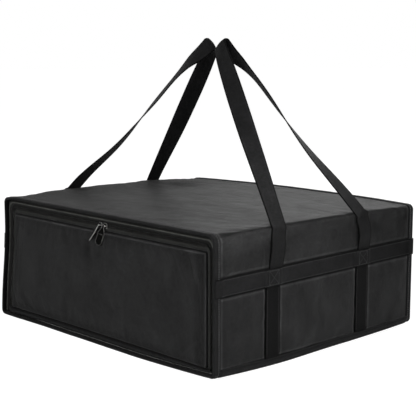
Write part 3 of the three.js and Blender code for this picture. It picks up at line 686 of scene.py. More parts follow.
def side_painted_shade(y, z, near):
    """Painted shade: a side darkens towards the back of its upper part and, less, over its lower part."""
    high = smooth(z, 0.10, 0.14)
    tone = 1 - 0.34 * smooth(y, 0.02, 0.17) * high
    return tone - 0.20 * near * (1 - smooth(z, 0.10, 0.13)) - 0.12 * smooth(y, 0.05, 0.18) * (1 - high)


def cover_shade(u, v):
    s = (2 * u - 1) * WRAP_END
    y = (2 * v - 1) * WRAP_EDGE
    z = round_the_bag(s, y)[0].z
    from_rim = TAPE_EDGE - abs(y)
    tone = seam_tone(from_rim) if from_rim > 0 else 0.3
    if abs(s) > WALL_START:
        if band_gap(z) > -0.002:
            tone *= seam_tone(band_gap(z))
        if z < BAND_FOOT:
            tone *= seam_tone(strap_gap(y))
            tone *= seam_tone(z - 0.0130)
    near = smooth(-y, 0.02, 0.17) if s > 0 else 0.3
    # Painted shade in the crease of the lid's fold.
    crease = bump(abs(s), FOLD_X + FOLD_LENGTH * (0.50 - 0.16 * near), 0.0055 + 0.0045 * near)
    crease *= 1 - smooth(abs(y), 0.186, 0.198)
    if abs(s) > FOLD_X + FOLD_LENGTH * 0.6:
        # A painted highlight just under the lid's edge, strongest near the front.
        down = BAG_HEIGHT - CREASE_RADIUS - z
        tone *= 1 + (0.10 + 0.75 * near) * (1 - smooth(down, 0.0, 0.012 + 0.024 * near))
        tone *= side_painted_shade(y, z, near)
    # Painted shadows of the left handle on the lid.
    handle_shadow = max(bump(s, at, wide) * bump(y, along, long) for at, along, wide, long in LID_HANDLE_SHADOWS)
    # Painted shade over the lid's left end.
    return tone * (1 - 0.62 * crease) * (1 - 0.85 * handle_shadow) * (1 - 0.32 * bump(s, -0.20, 0.075))


def wrap_held(place):
    held = smooth(abs(place.y), HALF_DEPTH - 0.020, HALF_DEPTH - 0.014)
    held = max(held, 1 - smooth(place.z, 0.010, 0.016))
    if abs(place.x) > HALF_WIDTH - 0.006:
        above = smooth(place.z, BAND_TOP + 0.02, BAND_TOP + 0.04)
        held = max(held, 1 - smooth(band_gap(place.z), 0.0, 0.004))
        held = max(held, (1 - smooth(strap_gap(place.y), -0.001, 0.003)) * (1 - above))
    return max(held, 0.10)


def wrap_wrinkled(u, v):
    """The lid lies flatter than the sides, because its board carries it, so it takes a quarter of the wrinkles."""
    on_lid = 1 - smooth(abs(2 * u - 1) * WRAP_END, FOLD_X - 0.02, FOLD_X)
    return wrap_place(u, v) + wrap_moves(u, v) * (1 - 0.75 * on_lid)


WRAP_FLAT = (2 * WRAP_END, 2 * WRAP_EDGE)
WRAP_STEPS = (264, 172)
wrap_moves = settled("wrap_trial", (128, 78), wrap_place, WRAP_FLAT, wrap_held, 0.8, 0.0016)
s_lines = [
    (FOLD_X + FOLD_LENGTH * 0.5, 0.016), (wall_place(1, BAND_TOP, 0), 0.005),
    (wall_place(1, BAND_FOOT, 0), 0.005), (FOOT_START - 0.006, 0.004)]
s_lines = [(0.5 + side * s / WRAP_END / 2, width / WRAP_END / 2) for s, width in s_lines for side in (-1, 1)]
y_lines = [y + side * WEBBING_WIDTH / 2 for y in STRAPS.values() for side in (-1, 1)]
y_lines += [-HALF_DEPTH + 0.0125, HALF_DEPTH - 0.0125]
y_lines = [(0.5 + y / WRAP_EDGE / 2, 0.005 / WRAP_EDGE / 2) for y in y_lines]
wrap_shares = [drawn_together(count, lines) for count, lines in zip(WRAP_STEPS, (s_lines, y_lines))]
mesh = sheet_mesh(WRAP_STEPS, wrap_wrinkled, WRAP_FLAT, shade=cover_shade, shares=wrap_shares)
wrap_cloth = into_scene("wrap_cloth", mesh, cover_cloth)
stands_for(wrap_cloth, "outer_wrap", "bag_body", CLOTH)
print("wrap", len(wrap_cloth.data.polygons), "faces")

# %% [markdown]
# The base is a flat cloth that rests on the floor in its middle and on its bindings at the edges, and the back is a
# panel that lies a little inside its binding.

# %% Base and back
def base_height(x, y):
    from_edge = min(HALF_WIDTH - abs(x), HALF_DEPTH - abs(y))
    return floor_height(x, y) + EDGE_RISE * (1 - smooth(from_edge, BINDING_DEPTH, 3 * BINDING_DEPTH))


def base_place(u, v):
    x = (2 * u - 1) * (HALF_WIDTH - 0.004)
    y = -(2 * v - 1) * WRAP_EDGE
    inside = 1 - smooth(max(abs(x) / HALF_WIDTH, abs(y) / HALF_DEPTH), 0.7, 0.9)
    return Vector((x, y, base_height(x, y) + 0.0003 * abs(slow_noise(x, y, 0.0, 0.08, 1.7)) * inside))


def back_place(u, v):
    x = -(2 * u - 1) * (HALF_WIDTH - 0.0015)
    foot = max(0.0, abs(x) - (HALF_WIDTH - FOOT_RADIUS))
    low = floor_height(x, HALF_DEPTH) + EDGE_RISE + 0.0015
    low += FOOT_RADIUS - math.sqrt(max(FOOT_RADIUS ** 2 - foot ** 2, 0.0))
    fold = rim_fold(x, HALF_DEPTH)
    corner = max(0.0, abs(x) - (HALF_WIDTH - fold))
    high = top_height(x, HALF_DEPTH) - 0.0015
    if corner:
        high = BAG_HEIGHT - fold + math.sqrt(max((fold - 0.0015) ** 2 - corner ** 2, 0.0))
    z = low + (high - low) * v
    inside = (1 - smooth(abs(x), 0.222, 0.238)) * smooth(z, 0.006, 0.026)
    inside *= 1 - smooth(z, BAG_HEIGHT - 0.026, BAG_HEIGHT - 0.008)
    puff = 0.0016 * inside * (1 - (x / HALF_WIDTH) ** 2) + 0.0005 * inside * slow_noise(x, 0.0, z, 0.05, 9.2)
    return Vector((x, TAPE_FRONT + puff, z))


PANELS = [("base", (90, 78), base_place, 2 * WRAP_EDGE), ("back", (110, 46), back_place, BAG_HEIGHT)]
for name, steps, place, height in PANELS:
    cloth = into_scene(name + "_cloth", sheet_mesh(steps, place, (2 * HALF_WIDTH, height)), cover_cloth)
    stands_for(cloth, name + "_panel", "bag_body", CLOTH)
    print(name, len(cloth.data.polygons), "faces")

# %% [markdown]
# ## Foam and foil inside
# The boards and the lining are out of sight while the flap is shut. The boards are copies of their solids with
# softened edges, cut across every 30 mm so that they give way where the bag has spread. The lining is a box of foil
# that is open at the front, and its walls are a little crumpled.

# %% Foam boards
def shy(board, point):
    """The faces that lie against the cover, drawn back a little to leave the cloth its hollows."""
    low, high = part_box(board)
    if board in ("left_foam", "right_foam"):
        outer = low.x if board == "left_foam" else high.x
        if abs(point.x - outer) < 0.0005:
            point.x -= math.copysign(0.0022, outer)
    elif board == "top_foam" and point.z > high.z - 0.0065:
        point.z -= 0.0022
    elif board == "flap_foam" and abs(point.y - low.y) < 0.0005:
        point.y += 0.0058


for board in ["top_foam", "left_foam", "right_foam", "base_foam", "back_foam", "flap_foam"]:
    mesh = bmesh.new()
    mesh.from_mesh(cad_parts[board].data)
    bmesh.ops.remove_doubles(mesh, verts=mesh.verts, dist=1e-6)
    bmesh.ops.dissolve_limit(mesh, angle_limit=math.radians(0.2), verts=mesh.verts, edges=mesh.edges)
    for vert in mesh.verts:
        shy(board, vert.co)
    low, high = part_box(board)
    for axis in range(3):
        cuts = round((high[axis] - low[axis]) / 0.03)
        for k in range(1, cuts):
            middle, across = low.copy(), Vector((0, 0, 0))
            middle[axis] += (high[axis] - low[axis]) * k / cuts
            across[axis] = 1
            whole = mesh.verts[:] + mesh.edges[:] + mesh.faces[:]
            bmesh.ops.bisect_plane(mesh, geom=whole, plane_co=middle, plane_no=across)
    pad = into_scene(board + "_board", mesh, closed_cell_foam)
    round_edges(pad, 0.0009, 3, 40)
    stands_for(pad, board, "front_flap" if board == "flap_foam" else "bag_body")
print("boards made")

# %% Foil lining
LINER_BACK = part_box("flap_liner")[1].y


def crumple(point):
    wide = slow_noise(point.x, point.y, point.z, 0.05, 4.4)
    fine = slow_noise(point.x, point.y, point.z, 0.017, 8.8)
    return abs(0.0012 * (0.7 * wide + 0.5 * fine))


def flap_foil_place(u, v):
    x = -(2 * u - 1) * FLAP_X
    z = FLAP_FOOT + v * (FLAP_TOP - FLAP_FOOT)
    inside = smooth(min(FLAP_X - abs(x), z - FLAP_FOOT, FLAP_TOP - z), 0.0, 0.012)
    point = Vector((x, LINER_BACK - 0.0001, z))
    point.y += inside * crumple(point)
    return point


liner_low, liner_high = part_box("foil_liner")
mesh = bmesh.new()
bmesh.ops.create_cube(mesh, size=1.0)
for vert in mesh.verts:
    for axis in range(3):
        vert.co[axis] = liner_high[axis] - 0.0004 if vert.co[axis] > 0 else liner_low[axis] + 0.0004
bmesh.ops.delete(mesh, geom=[f for f in mesh.faces if f.normal.y < -0.9], context="FACES")
bmesh.ops.subdivide_edges(mesh, edges=mesh.edges, cuts=44, use_grid_fill=True)
for vert in mesh.verts:
    if vert.is_boundary:
        vert.co.y += 0.005 * (1 - smooth(vert.co.z, 0.010, 0.030))
        continue
    inward = Vector((-vert.co.x / 0.24, -vert.co.y / 0.2, -(vert.co.z - 0.095) / 0.09))
    vert.co += inward * crumple(vert.co) * 0.8
bmesh.ops.recalc_face_normals(mesh, faces=mesh.faces)
foil_sack = into_scene("foil_sack", mesh, foil_lining)
stands_for(foil_sack, "foil_liner", "bag_body", 0.0003)

mesh = sheet_mesh((96, 34), flap_foil_place, (2 * FLAP_X, FLAP_TOP - FLAP_FOOT))
flap_foil = into_scene("flap_foil", mesh, foil_lining)
stands_for(flap_foil, "flap_liner", "front_flap", 0.0004)
print("lining", len(foil_sack.data.polygons), "and", len(flap_foil.data.polygons), "faces")

# %% [markdown]
# ## Thread
# A row of stitches is a row of short raised threads that dip into the cloth between them. `sew` walks along a seam
# and sets a small stretched ball at each stitch, turned along the seam and pressed flat on the cloth.

# %% Sewing
def resampled(line, pitch):
    """Places at even steps along a line of (point, normal)."""
    lengths = [0.0]
    for (a, _), (b, _) in zip(line, line[1:]):
        lengths.append(lengths[-1] + (b - a).length)
    count = max(1, round(lengths[-1] / pitch))
    places, i = [], 0
    for k in range(count):
        wanted = (k + 0.5) * lengths[-1] / count
        while lengths[i + 1] < wanted:
            i += 1
        share = (wanted - lengths[i]) / (lengths[i + 1] - lengths[i])
        (a, m), (b, n) = line[i], line[i + 1]
        places.append((a.lerp(b, share), (b - a).normalized(), m.lerp(n, share).normalized()))
    return places


def repeated(shape, places):
    """One small shape, copied to every place."""
    template = bpy.data.meshes.new("template")
    shape.to_mesh(template)
    shape.free()
    whole = bmesh.new()
    for place in places:
        copy = template.copy()
        copy.transform(place)
        whole.from_mesh(copy)
        bpy.data.meshes.remove(copy)
    bpy.data.meshes.remove(template)
    bmesh.ops.recalc_face_normals(whole, faces=whole.faces)
    return whole


def turned(along, across, out, place):
    """The matrix that turns and stretches a small shape to three directions and sets it at a place."""
    turn = Matrix((along, across, out)).transposed().to_4x4()
    turn.translation = place
    return turn


def ball(around, rows):
    shape = bmesh.new()
    bmesh.ops.create_uvsphere(shape, u_segments=around, v_segments=rows, radius=1.0)
    return shape


def sew(name, lines, body, pitch=0.0032, thick=0.00055, thread=seam_thread):
    places = []
    for line in lines:
        for place, along, out in resampled(line, pitch):
            out = (out - along * out.dot(along)).normalized()
            places.append(turned(along * pitch * 0.42, out.cross(along) * thick, out * thick, place))
    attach(into_scene(name, repeated(ball(6, 4), places), thread), body)


# %% [markdown]
# ## Bindings
# The seams at the front and the back are finished with tape that is folded over the raw edges of the cloth, round
# the whole bag. So the tape's section is a narrow U, and its fold makes the bag's round rim. A tape on a curve
# never lies quite even: its edge wanders and the stitches draw it in.

# %% Edge bindings
TAPE = 0.0009
RIM_OUT = 0.0012
RIM_IN = -0.0035
INNER_EDGE = HALF_DEPTH - 0.0064
RIM_RADIUS = (RIM_OUT - RIM_IN) / 2
RIM_MIDDLE = (RIM_OUT + RIM_IN) / 2
RIM_BEND = math.pi * RIM_RADIUS
TURN_DEPTH = HALF_DEPTH - RIM_RADIUS
STITCH_LINE = TAPE_EDGE + 0.0024


def rim_section(share, edge):
    """A point (out, depth) of the tape's outer face, from the edge on the cloth, round the rim, to the inner edge."""
    first, last = TURN_DEPTH - edge, TURN_DEPTH - INNER_EDGE
    d = share * (first + RIM_BEND + last)
    if d <= first:
        return RIM_OUT, edge + d
    if d <= first + RIM_BEND:
        turn = (d - first) / RIM_RADIUS
        return RIM_MIDDLE + RIM_RADIUS * math.cos(turn), TURN_DEPTH + RIM_RADIUS * math.sin(turn)
    return RIM_IN, TURN_DEPTH - (d - first - RIM_BEND)


def binding(end, seed):
    """Where the tape round one end of the bag lies, and its painted highlights and shade."""
    def place(u, v):
        s = (2 * u - 1) * HALF_ROUND
        share = v if end > 0 else 1 - v
        wander = 0.0005 * slow_noise(s, 0.0, 0.0, 0.05, seed) + 0.0002 * slow_noise(s, 0.0, 0.0, 0.012, seed + 3)
        wander *= 1 - smooth(abs(s), HALF_ROUND - 0.05, HALF_ROUND - 0.01)
        out_by, depth = rim_section(share, TAPE_EDGE + wander)
        puff = 0.00025 * slow_noise(s, depth, 0.0, 0.02, seed + 5) * (1 - smooth(share, 0.4, 0.5))
        seam = 0.0004 * bump(depth, STITCH_LINE, 0.0010) if share < 0.4 else 0.0
        point, out = round_the_bag(s, end * depth)
        return point + out * (out_by + puff - seam)

    def shade(u, v):
        share = v if end > 0 else 1 - v
        # Painted shade on the tape's inner leg, behind the rim.
        if share > 0.52:
            return 0.25 + 1.0 * (1 - smooth(share, 0.55, 0.75))
        from_edge = rim_section(share, TAPE_EDGE)[1] - TAPE_EDGE
        # A painted highlight along the tape's edge, painted shade along its stitches and a painted highlight on the
        # rim, uneven along its length.
        rim_highlight_variation = 0.5 + 0.5 * slow_noise((2 * u - 1) * HALF_ROUND, 0.0, 0.0, 0.009, seed)
        tone = 1.0 + 3.4 * bump(from_edge, 0.0008, 0.0006) - 0.55 * bump(from_edge, 0.0024, 0.0009)
        return tone + 0.5 * bump(share, 0.43, 0.05) * (0.6 + 0.8 * rim_highlight_variation)

    return place, shade


for name, node, end, seed in [("front_tape", "front_rim_binding", -1, 2.3), ("back_tape", "back_binding", 1, 6.1)]:
    place, shade = binding(end, seed)
    flat = (2 * HALF_ROUND, 2 * TURN_DEPTH - TAPE_EDGE - INNER_EDGE + RIM_BEND)
    mesh = sheet_mesh((520, 34), place, flat, closed=True, shade=shade)
    stands_for(into_scene(name, mesh, binding_weave), node, "bag_body", TAPE)

    def stitched(share):
        point, out = round_the_bag((share - 0.5) * 2 * HALF_ROUND, end * STITCH_LINE)
        return point + out * (RIM_OUT - 0.0001), out

    sew(name + "_stitches", [walked(480, stitched)], "bag_body")
    print(name, round(2 * HALF_ROUND, 3), "m long")

# %% [markdown]
# The seams between the sides and the base have the same tape, folded lengthwise over the corner.

# %% Base bindings
BASE_TAPE_UP = 0.011
BASE_TAPE_IN = 0.009
BASE_TAPE_START = FOOT_START - (BASE_TAPE_UP - FOOT_RADIUS)


def base_binding(side):
    """Where the tape along one side's foot lies, and its painted highlight and shade."""
    def place(u, v):
        y = (2 * u - 1) * (HALF_DEPTH - 0.0080)
        first = BASE_TAPE_START - 0.0005 * slow_noise(y, 0.0, 0.0, 0.05, 4.0 + side)
        last = BASE_START + BASE_TAPE_IN - FOOT_RADIUS
        s = first + (last - first) * (v if side > 0 else 1 - v)
        point, out = round_the_bag(side * s, y)
        seam = 0.0003 * bump(s, first + 0.0022, 0.0012)
        under = 0.0009 * smooth(abs(y), HALF_DEPTH - 0.0125, TAPE_EDGE)
        return point + out * (0.0012 - seam - under)

    def shade(u, v):
        # A painted highlight along the tape's upper edge, painted shade along its stitches and where it turns under
        # the foot.
        down = (v if side > 0 else 1 - v) * (BASE_TAPE_UP + BASE_TAPE_IN)
        seam = 0.9 * bump(down, 0.0005, 0.0006) - 0.5 * bump(down, 0.0024, 0.0010)
        return 1.0 + seam - 0.5 * smooth(down, 0.006, 0.009)

    return place, shade


for name, side in [("left", -1), ("right", 1)]:
    place, shade = base_binding(side)
    mesh = sheet_mesh((180, 28), place, (2 * (HALF_DEPTH - BINDING_DEPTH), BASE_TAPE_UP + BASE_TAPE_IN), shade=shade)
    tape = into_scene(name + "_base_tape", mesh, binding_weave)
    stands_for(tape, name + "_base_binding", "bag_body", TAPE)

    def stitched(share):
        y = (share - 0.5) * 2 * (HALF_DEPTH - BINDING_DEPTH - 0.002)
        point, out = round_the_bag(side * (BASE_TAPE_START + 0.0022), y)
        return point + out * 0.0011, out

    sew(name + "_base_tape_stitches", [walked(180, stitched)], "bag_body")
print("base tapes made")

# %% [markdown]
# ## The zip
# The zip runs up one side of the flap, over it and down the other. One tape is sewn to the flap and the other into
# the front binding, and each carries a coil along its free edge. `zip_line` walks along the flap's edge at a given
# distance outside it, so the tapes and the coils keep to one course and turn about one centre at each corner.

# %% The zip's course
ZIP_BEND = 0.003
BEND_X = FLAP_X - ZIP_BEND
BEND_Z = FLAP_TOP - ZIP_BEND
ZIP_UP = BEND_Z - FLAP_FOOT
ZIP_TURN = math.pi / 2 * 0.012
ZIP_LENGTH = 2 * (ZIP_UP + ZIP_TURN + BEND_X)
COIL_MIDDLE = 0.00905
ZIP_TAPE_FOOT = 0.0065


def zip_stage(share):
    """Which stretch of the course a share of its length is on, and how far along that stretch."""
    d = share * ZIP_LENGTH
    for stage, length in enumerate([ZIP_UP, ZIP_TURN, 2 * BEND_X, ZIP_TURN, ZIP_UP]):
        if d <= length or stage == 4:
            return stage, min(max(d / length, 0.0), 1.0)
        d -= length
    return 4, 1.0


def corner_turn(stage, part):
    """The side that a corner of the course is on, and how far it has turned from the side to the top."""
    return (-1, part * math.pi / 2) if stage == 1 else (1, (1 - part) * math.pi / 2)


def zip_line(share, outside, below=0.0):
    """(x, z) and the direction away from the flap, from the left foot over the top to the right foot."""
    stage, part = zip_stage(share)
    radius = ZIP_BEND + outside
    if stage == 0:
        return (-BEND_X - radius, FLAP_FOOT - below + part * (ZIP_UP + below)), (-1.0, 0.0)
    if stage == 2:
        return (-BEND_X + part * 2 * BEND_X, BEND_Z + radius), (0.0, 1.0)
    if stage == 4:
        return (BEND_X + radius, BEND_Z - part * (ZIP_UP + below)), (1.0, 0.0)
    side, turn = corner_turn(stage, part)
    out = (side * math.cos(turn), math.sin(turn))
    return (side * BEND_X + radius * out[0], BEND_Z + radius * out[1]), out


def cover_line(share, inside):
    """The matching point at a distance inside the cover's own line, where the body's tape meets it."""
    stage, part = zip_stage(share)
    left_fold, right_fold = rim_fold(-1, -1), rim_fold(1, -1)
    side, fold = (-1, left_fold) if stage < 2 else (1, right_fold)
    if stage in (0, 4):
        part = part if stage == 0 else 1 - part
        return side * (HALF_WIDTH - inside), ZIP_TAPE_FOOT + part * (BAG_HEIGHT - fold - ZIP_TAPE_FOOT)
    if stage == 2:
        x = -(HALF_WIDTH - left_fold) * (1 - part) + (HALF_WIDTH - right_fold) * part
        return x, top_height(x, -HALF_DEPTH) - inside
    side, turn = corner_turn(stage, part)
    reach = fold - inside
    return side * (HALF_WIDTH - fold + reach * math.cos(turn)), BAG_HEIGHT - fold + reach * math.sin(turn)


print("zip", round(ZIP_LENGTH, 3), "m long")

# %% [markdown]
# The flap's tape is flat, with a low rib where the coil is sewn on. The body's tape swells where it is folded under
# the binding, which gives the front its fine bands of light and shade, and painted highlights and shade on both
# tapes strengthen them.

# %% Zip tapes
def flap_tape_place(u, v):
    (x, z), _ = zip_line(u, 0.0003 + v * 0.0067)
    rib = 0.0006 * bump(v, 0.88, 0.08) + 0.0004 * bump(v, 0.45, 0.2)
    return Vector((x, -(TAPE_FRONT + rib), z))


# Painted shade in the gap beside the flap's edge.
def flap_tape_shade(u, v):
    return 0.25 + 1.35 * smooth(v, 0.32, 0.5)


def body_tape_place(u, v):
    web = min(v / 0.8, 1.0)
    (x, z), _ = zip_line(u, 0.0111, FLAP_FOOT - ZIP_TAPE_FOOT)
    far_x, far_z = cover_line(u, 0.0016)
    place = Vector((x + (far_x - x) * web, -TAPE_FRONT, z + (far_z - z) * web))
    place.y -= 0.0024 * bump(web, 0.50, 0.15) + 0.0002 * slow_noise(x, 0.0, z, 0.012, 41.0)
    if v > 0.8:
        place.y -= (v - 0.8) / 0.2 * 0.0055
    return place


# Painted shade beside the coil and under the binding's rim, with a painted highlight along the tape's fold.
def body_tape_shade(u, v):
    web = min(v / 0.8, 1.0)
    return 0.45 + 0.5 * smooth(web, 0.2, 0.4) + 5.0 * bump(web, 0.48, 0.065) - 0.7 * smooth(web, 0.72, 0.9)


mesh = sheet_mesh((420, 16), flap_tape_place, (ZIP_LENGTH, 0.007), shade=flap_tape_shade)
flap_tape = into_scene("flap_tape", mesh, zip_tape_weave)
stands_for(flap_tape, "flap_zip_tape", "front_flap", 0.0007)
mesh = sheet_mesh((420, 40), body_tape_place, (ZIP_LENGTH, 0.018), shade=body_tape_shade)
body_tape = into_scene("body_tape", mesh, zip_tape_weave)
stands_for(body_tape, "body_zip_tape", "bag_body", 0.0007)

for name, body, outside, proud in [("flap", "front_flap", 0.0022, 0.0003), ("body", "bag_body", 0.0163, 0.0004)]:
    def stitched(share):
        (x, z), _ = zip_line(share, outside)
        return Vector((x, -(TAPE_FRONT + proud), z)), Vector((0, -1, 0))

    sew(name + "_tape_stitches", [walked(400, stitched)], body, pitch=0.0028, thick=0.0003)
print("zip tapes", len(flap_tape.data.polygons) + len(body_tape.data.polygons), "faces")

# %% [markdown]
# A coil zip has no separate teeth: a nylon thread is wound into a spiral along each tape, and the two spirals lock
# into each other. From in front one sees the short rods of the winding, so each is a small rod across the course,
# and the rods of the two sides lie between each other. `coil` gets how far outside the flap its rods begin and end.

# %% Coils
COIL_PITCH = 0.0016


def coil(name, inner, outer, shift, body):
    rods = []
    count = int(ZIP_LENGTH / COIL_PITCH)
    for k in range(count):
        share = (k + 0.5 + shift) / (count + 1)
        (x0, z0), _ = zip_line(share, inner)
        (x1, z1), _ = zip_line(share, outer)
        a, b = Vector((x0, -TAPE_FRONT - 0.0003, z0)), Vector((x1, -TAPE_FRONT - 0.0003, z1))
        across = (b - a).normalized()
        along = across.cross(Vector((0, -1, 0))).normalized()
        rods.append(turned(across * (b - a).length / 2, along * 0.0005, Vector((0, -0.0009, 0)), (a + b) / 2))
    wound = into_scene(name + "_coil", repeated(ball(6, 5), rods), nylon_coil)
    stands_for(wound, name + "_zip_coil", body)
    print(name, "coil", count, "rods")


coil("flap", 0.0068, 0.0094, 0.0, "front_flap")
coil("body", 0.0087, 0.0113, 0.5, "bag_body")

# %% [markdown]
# ## The flap
# The flap is a foam board in a cover that is sewn round its edge. The cover is drawn tight at the seam and swells
# a little towards the middle, and soft dents run down from the pulls, where hands tug at it.

# %% Flap cover
FLAP_ROUND = 0.0034
FLAP_CORNER = 0.004


def flap_dents(x, z):
    """Dents below the pulls, at the right upper corner, along the foot and down both ends."""
    low, up = FLAP_TOP - z, z - FLAP_FOOT
    tug = 0.0
    for centre, lean, depth in [(-0.020, -0.05, 0.0013), (0.006, 0.10, 0.0015), (0.034, 0.30, 0.0008)]:
        tug += depth * bump(x, centre + lean * low, 0.0045 + 0.09 * low) * bump(low, 0.016, 0.026)
    lift = 0.0008 * bump(x, -0.008 + 0.02 * low, 0.006) * bump(low, 0.020, 0.020)
    corner = 0.0015 * bump(x - 0.196 - 0.30 * (low - 0.03), 0.0, 0.0055) * bump(low, 0.034, 0.030)
    corner += 0.0008 * bump(x - 0.170 - 0.5 * (low - 0.03), 0.0, 0.006) * bump(low, 0.030, 0.024)
    foot = 0.0013 * bump(x - 0.178 - 1.2 * (up - 0.014), 0.0, 0.006) * bump(up, 0.018, 0.018)
    foot += 0.0009 * bump(x - 0.146 - 1.0 * (up - 0.012), 0.0, 0.006) * bump(up, 0.014, 0.014)
    side = 0.0012 * bump(x, FLAP_X - 0.012, 0.006) * (0.6 + 0.5 * slow_noise(0.0, 0.0, z, 0.04, 55.0))
    end = 0.0008 * bump(x, -FLAP_X + 0.012, 0.006)
    return tug - lift + corner + foot + side + end


def flap_outline(u, v):
    """(x, z) and the distance from the flap's rounded edge."""
    x = (2 * u - 1) * FLAP_X
    z = FLAP_FOOT + v * (FLAP_TOP - FLAP_FOOT)
    side, level = 1 if x > 0 else -1, 1 if v > 0.5 else -1
    edge_x, edge_z = FLAP_X - abs(x), min(z - FLAP_FOOT, FLAP_TOP - z)
    if edge_x < FLAP_CORNER and edge_z < FLAP_CORNER:
        square = max(1 - edge_x / FLAP_CORNER, 1 - edge_z / FLAP_CORNER)
        far = math.hypot(1 - edge_x / FLAP_CORNER, 1 - edge_z / FLAP_CORNER)
        shrink = square / far if far else 1.0
        x = side * (FLAP_X - FLAP_CORNER + (FLAP_CORNER - edge_x) * shrink)
        middle = FLAP_TOP - FLAP_CORNER if level > 0 else FLAP_FOOT + FLAP_CORNER
        z = middle + level * (FLAP_CORNER - edge_z) * shrink
        return x, z, FLAP_CORNER * (1 - square)
    return x, z, min(edge_x, edge_z)


def spread(share):
    """Grid lines drawn closer together towards the edges, where the cloth turns."""
    return share - math.sin(2 * math.pi * share) * 0.11


def flap_place(u, v):
    u, v = spread(u), spread(v)
    x, z, near_edge = flap_outline(u, v)
    drop = FLAP_ROUND - math.sqrt(max(FLAP_ROUND ** 2 - max(FLAP_ROUND - near_edge, 0.0) ** 2, 0.0))
    puff = 0.0016 * (1 - (2 * u - 1) ** 4) * (1 - (2 * v - 1) ** 4) * smooth(near_edge, 0.0, 0.02)
    dents = flap_dents(x, z) * smooth(near_edge, 0.001, 0.007)
    ripple = 0.0004 * slow_noise(x * 0.8, 0.0, z * 1.5, 0.045, 12.5) * smooth(near_edge, 0.0, 0.01)
    return Vector((x, -(FLAP_FACE + puff - dents + ripple - drop), z))


# Painted light on the flap: a painted highlight along its rounded edge, painted shade just inside it, at the right end
# and along the foot, painted shade beside and below the pulls, and a painted highlight streak near the right upper
# corner.
def flap_shade(u, v):
    x, z, near_edge = flap_outline(spread(u), spread(v))
    low = FLAP_TOP - z
    foot = 1 - smooth(z - FLAP_FOOT, 0.0, 0.004)
    light = 3.0 * bump(near_edge, 0.0016, 0.0008) * (1 - 0.85 * foot)
    light *= 0.75 + 0.5 * slow_noise(x, 0.0, z, 0.02, 61.0)
    dim = 0.25 * bump(near_edge, 0.006, 0.004) + 0.7 * (1 - smooth(near_edge, 0.0, 0.0007))
    painted_end_and_foot_shade = 0.30 * bump(x, FLAP_X - 0.012, 0.008) + 0.3 * foot
    tug = 0.45 * bump(x, 0.018, 0.0045) * bump(low, 0.010, 0.012)
    tug += 0.3 * bump(x, -0.022, 0.008) * bump(low, 0.034, 0.016)
    streak = 0.55 * bump(x - 0.203 - 0.30 * (low - 0.03), 0.0, 0.0035) * bump(low, 0.030, 0.022)
    return max(0.1, 1 + light - dim - painted_end_and_foot_shade - tug + streak)


def flap_held(place):
    near_edge = min(FLAP_X - abs(place.x), FLAP_TOP - place.z, place.z - FLAP_FOOT)
    return max(1 - smooth(near_edge, 0.0035, 0.007), 0.05)


FLAP_FLAT = (2 * FLAP_X, FLAP_TOP - FLAP_FOOT)
flap_moves = settled("flap_trial", (110, 46), flap_place, FLAP_FLAT, flap_held, 0.5, 0.0014)
mesh = sheet_mesh((260, 112), lambda u, v: flap_place(u, v) + flap_moves(u, v), FLAP_FLAT, shade=flap_shade)
walls = bmesh.ops.extrude_edge_only(mesh, edges=[edge for edge in mesh.edges if edge.is_boundary])["geom"]
for vert in [part for part in walls if isinstance(part, bmesh.types.BMVert)]:
    vert.co.y = -FLAP_BACK
bmesh.ops.recalc_face_normals(mesh, faces=mesh.faces)
if sum(face.normal.y * face.calc_area() for face in mesh.faces) > 0:
    bmesh.ops.reverse_faces(mesh, faces=mesh.faces)
flap_cloth = into_scene("flap_cloth", mesh, cover_cloth)
stands_for(flap_cloth, "flap_cover", "front_flap", CLOTH)
print("flap", len(flap_cloth.data.polygons), "faces")

# %% [markdown]
# A strip of cloth joins the flap's foot to the base and is its hinge. It bulges forward over the seam, so the front
# shows a soft roll under the flap. It is baked in place and moves with neither body.

# %% Hinge strip
HINGE_X = FLAP_X + 0.0105


def hinge_place(u, v):
    x = (2 * u - 1) * HINGE_X
    low = floor_height(x, -HALF_DEPTH) + EDGE_RISE + 0.0042
    z = low + v * (FLAP_FOOT + 0.0006 - low)
    ends = 1 - smooth(abs(x), HINGE_X - 0.012, HINGE_X)
    bulge = 0.0048 * math.sin(math.pi * min(max(v, 0.0), 1.0)) ** 0.6 * (0.35 + 0.65 * ends)
    ripple = 0.0003 * slow_noise(x, 0.0, z, 0.02, 15.0)
    return Vector((x, -(TAPE_FRONT + 0.0004 + bulge + ripple * ends), z))


# A painted highlight over the hinge's roll and painted shade above and below it.
def hinge_shade(u, v):
    return 0.25 + 1.1 * bump(v, 0.42, 0.22) + 0.8 * bump(v, 0.62, 0.08)


mesh = sheet_mesh((180, 24), hinge_place, (2 * HINGE_X, 0.016), shade=hinge_shade)
hinge_strip = into_scene("hinge_strip", mesh, binding_weave)
thicken(hinge_strip, 0.0008)
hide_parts("flap_hinge")
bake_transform(hinge_strip)
print("hinge strip", round(2 * HINGE_X, 3), "m long")

# %% [markdown]
# ## Sliders and pulls
# Each slider is a small metal plate over the coils with a bridge, and on the bridge hangs a flat tab. The plate and
# the tab are stamped and enamelled, so their edges are round and catch a thin line of light.
# A row below gives a slider's place along the zip, and how far its pull leans and is twisted, in degrees.

# %% Sliders and pulls
ZIP_HEIGHT = FLAP_TOP + COIL_MIDDLE
PLATE_FRONT = 0.2052
BAR = 0.2078
PULL_TILT = 8


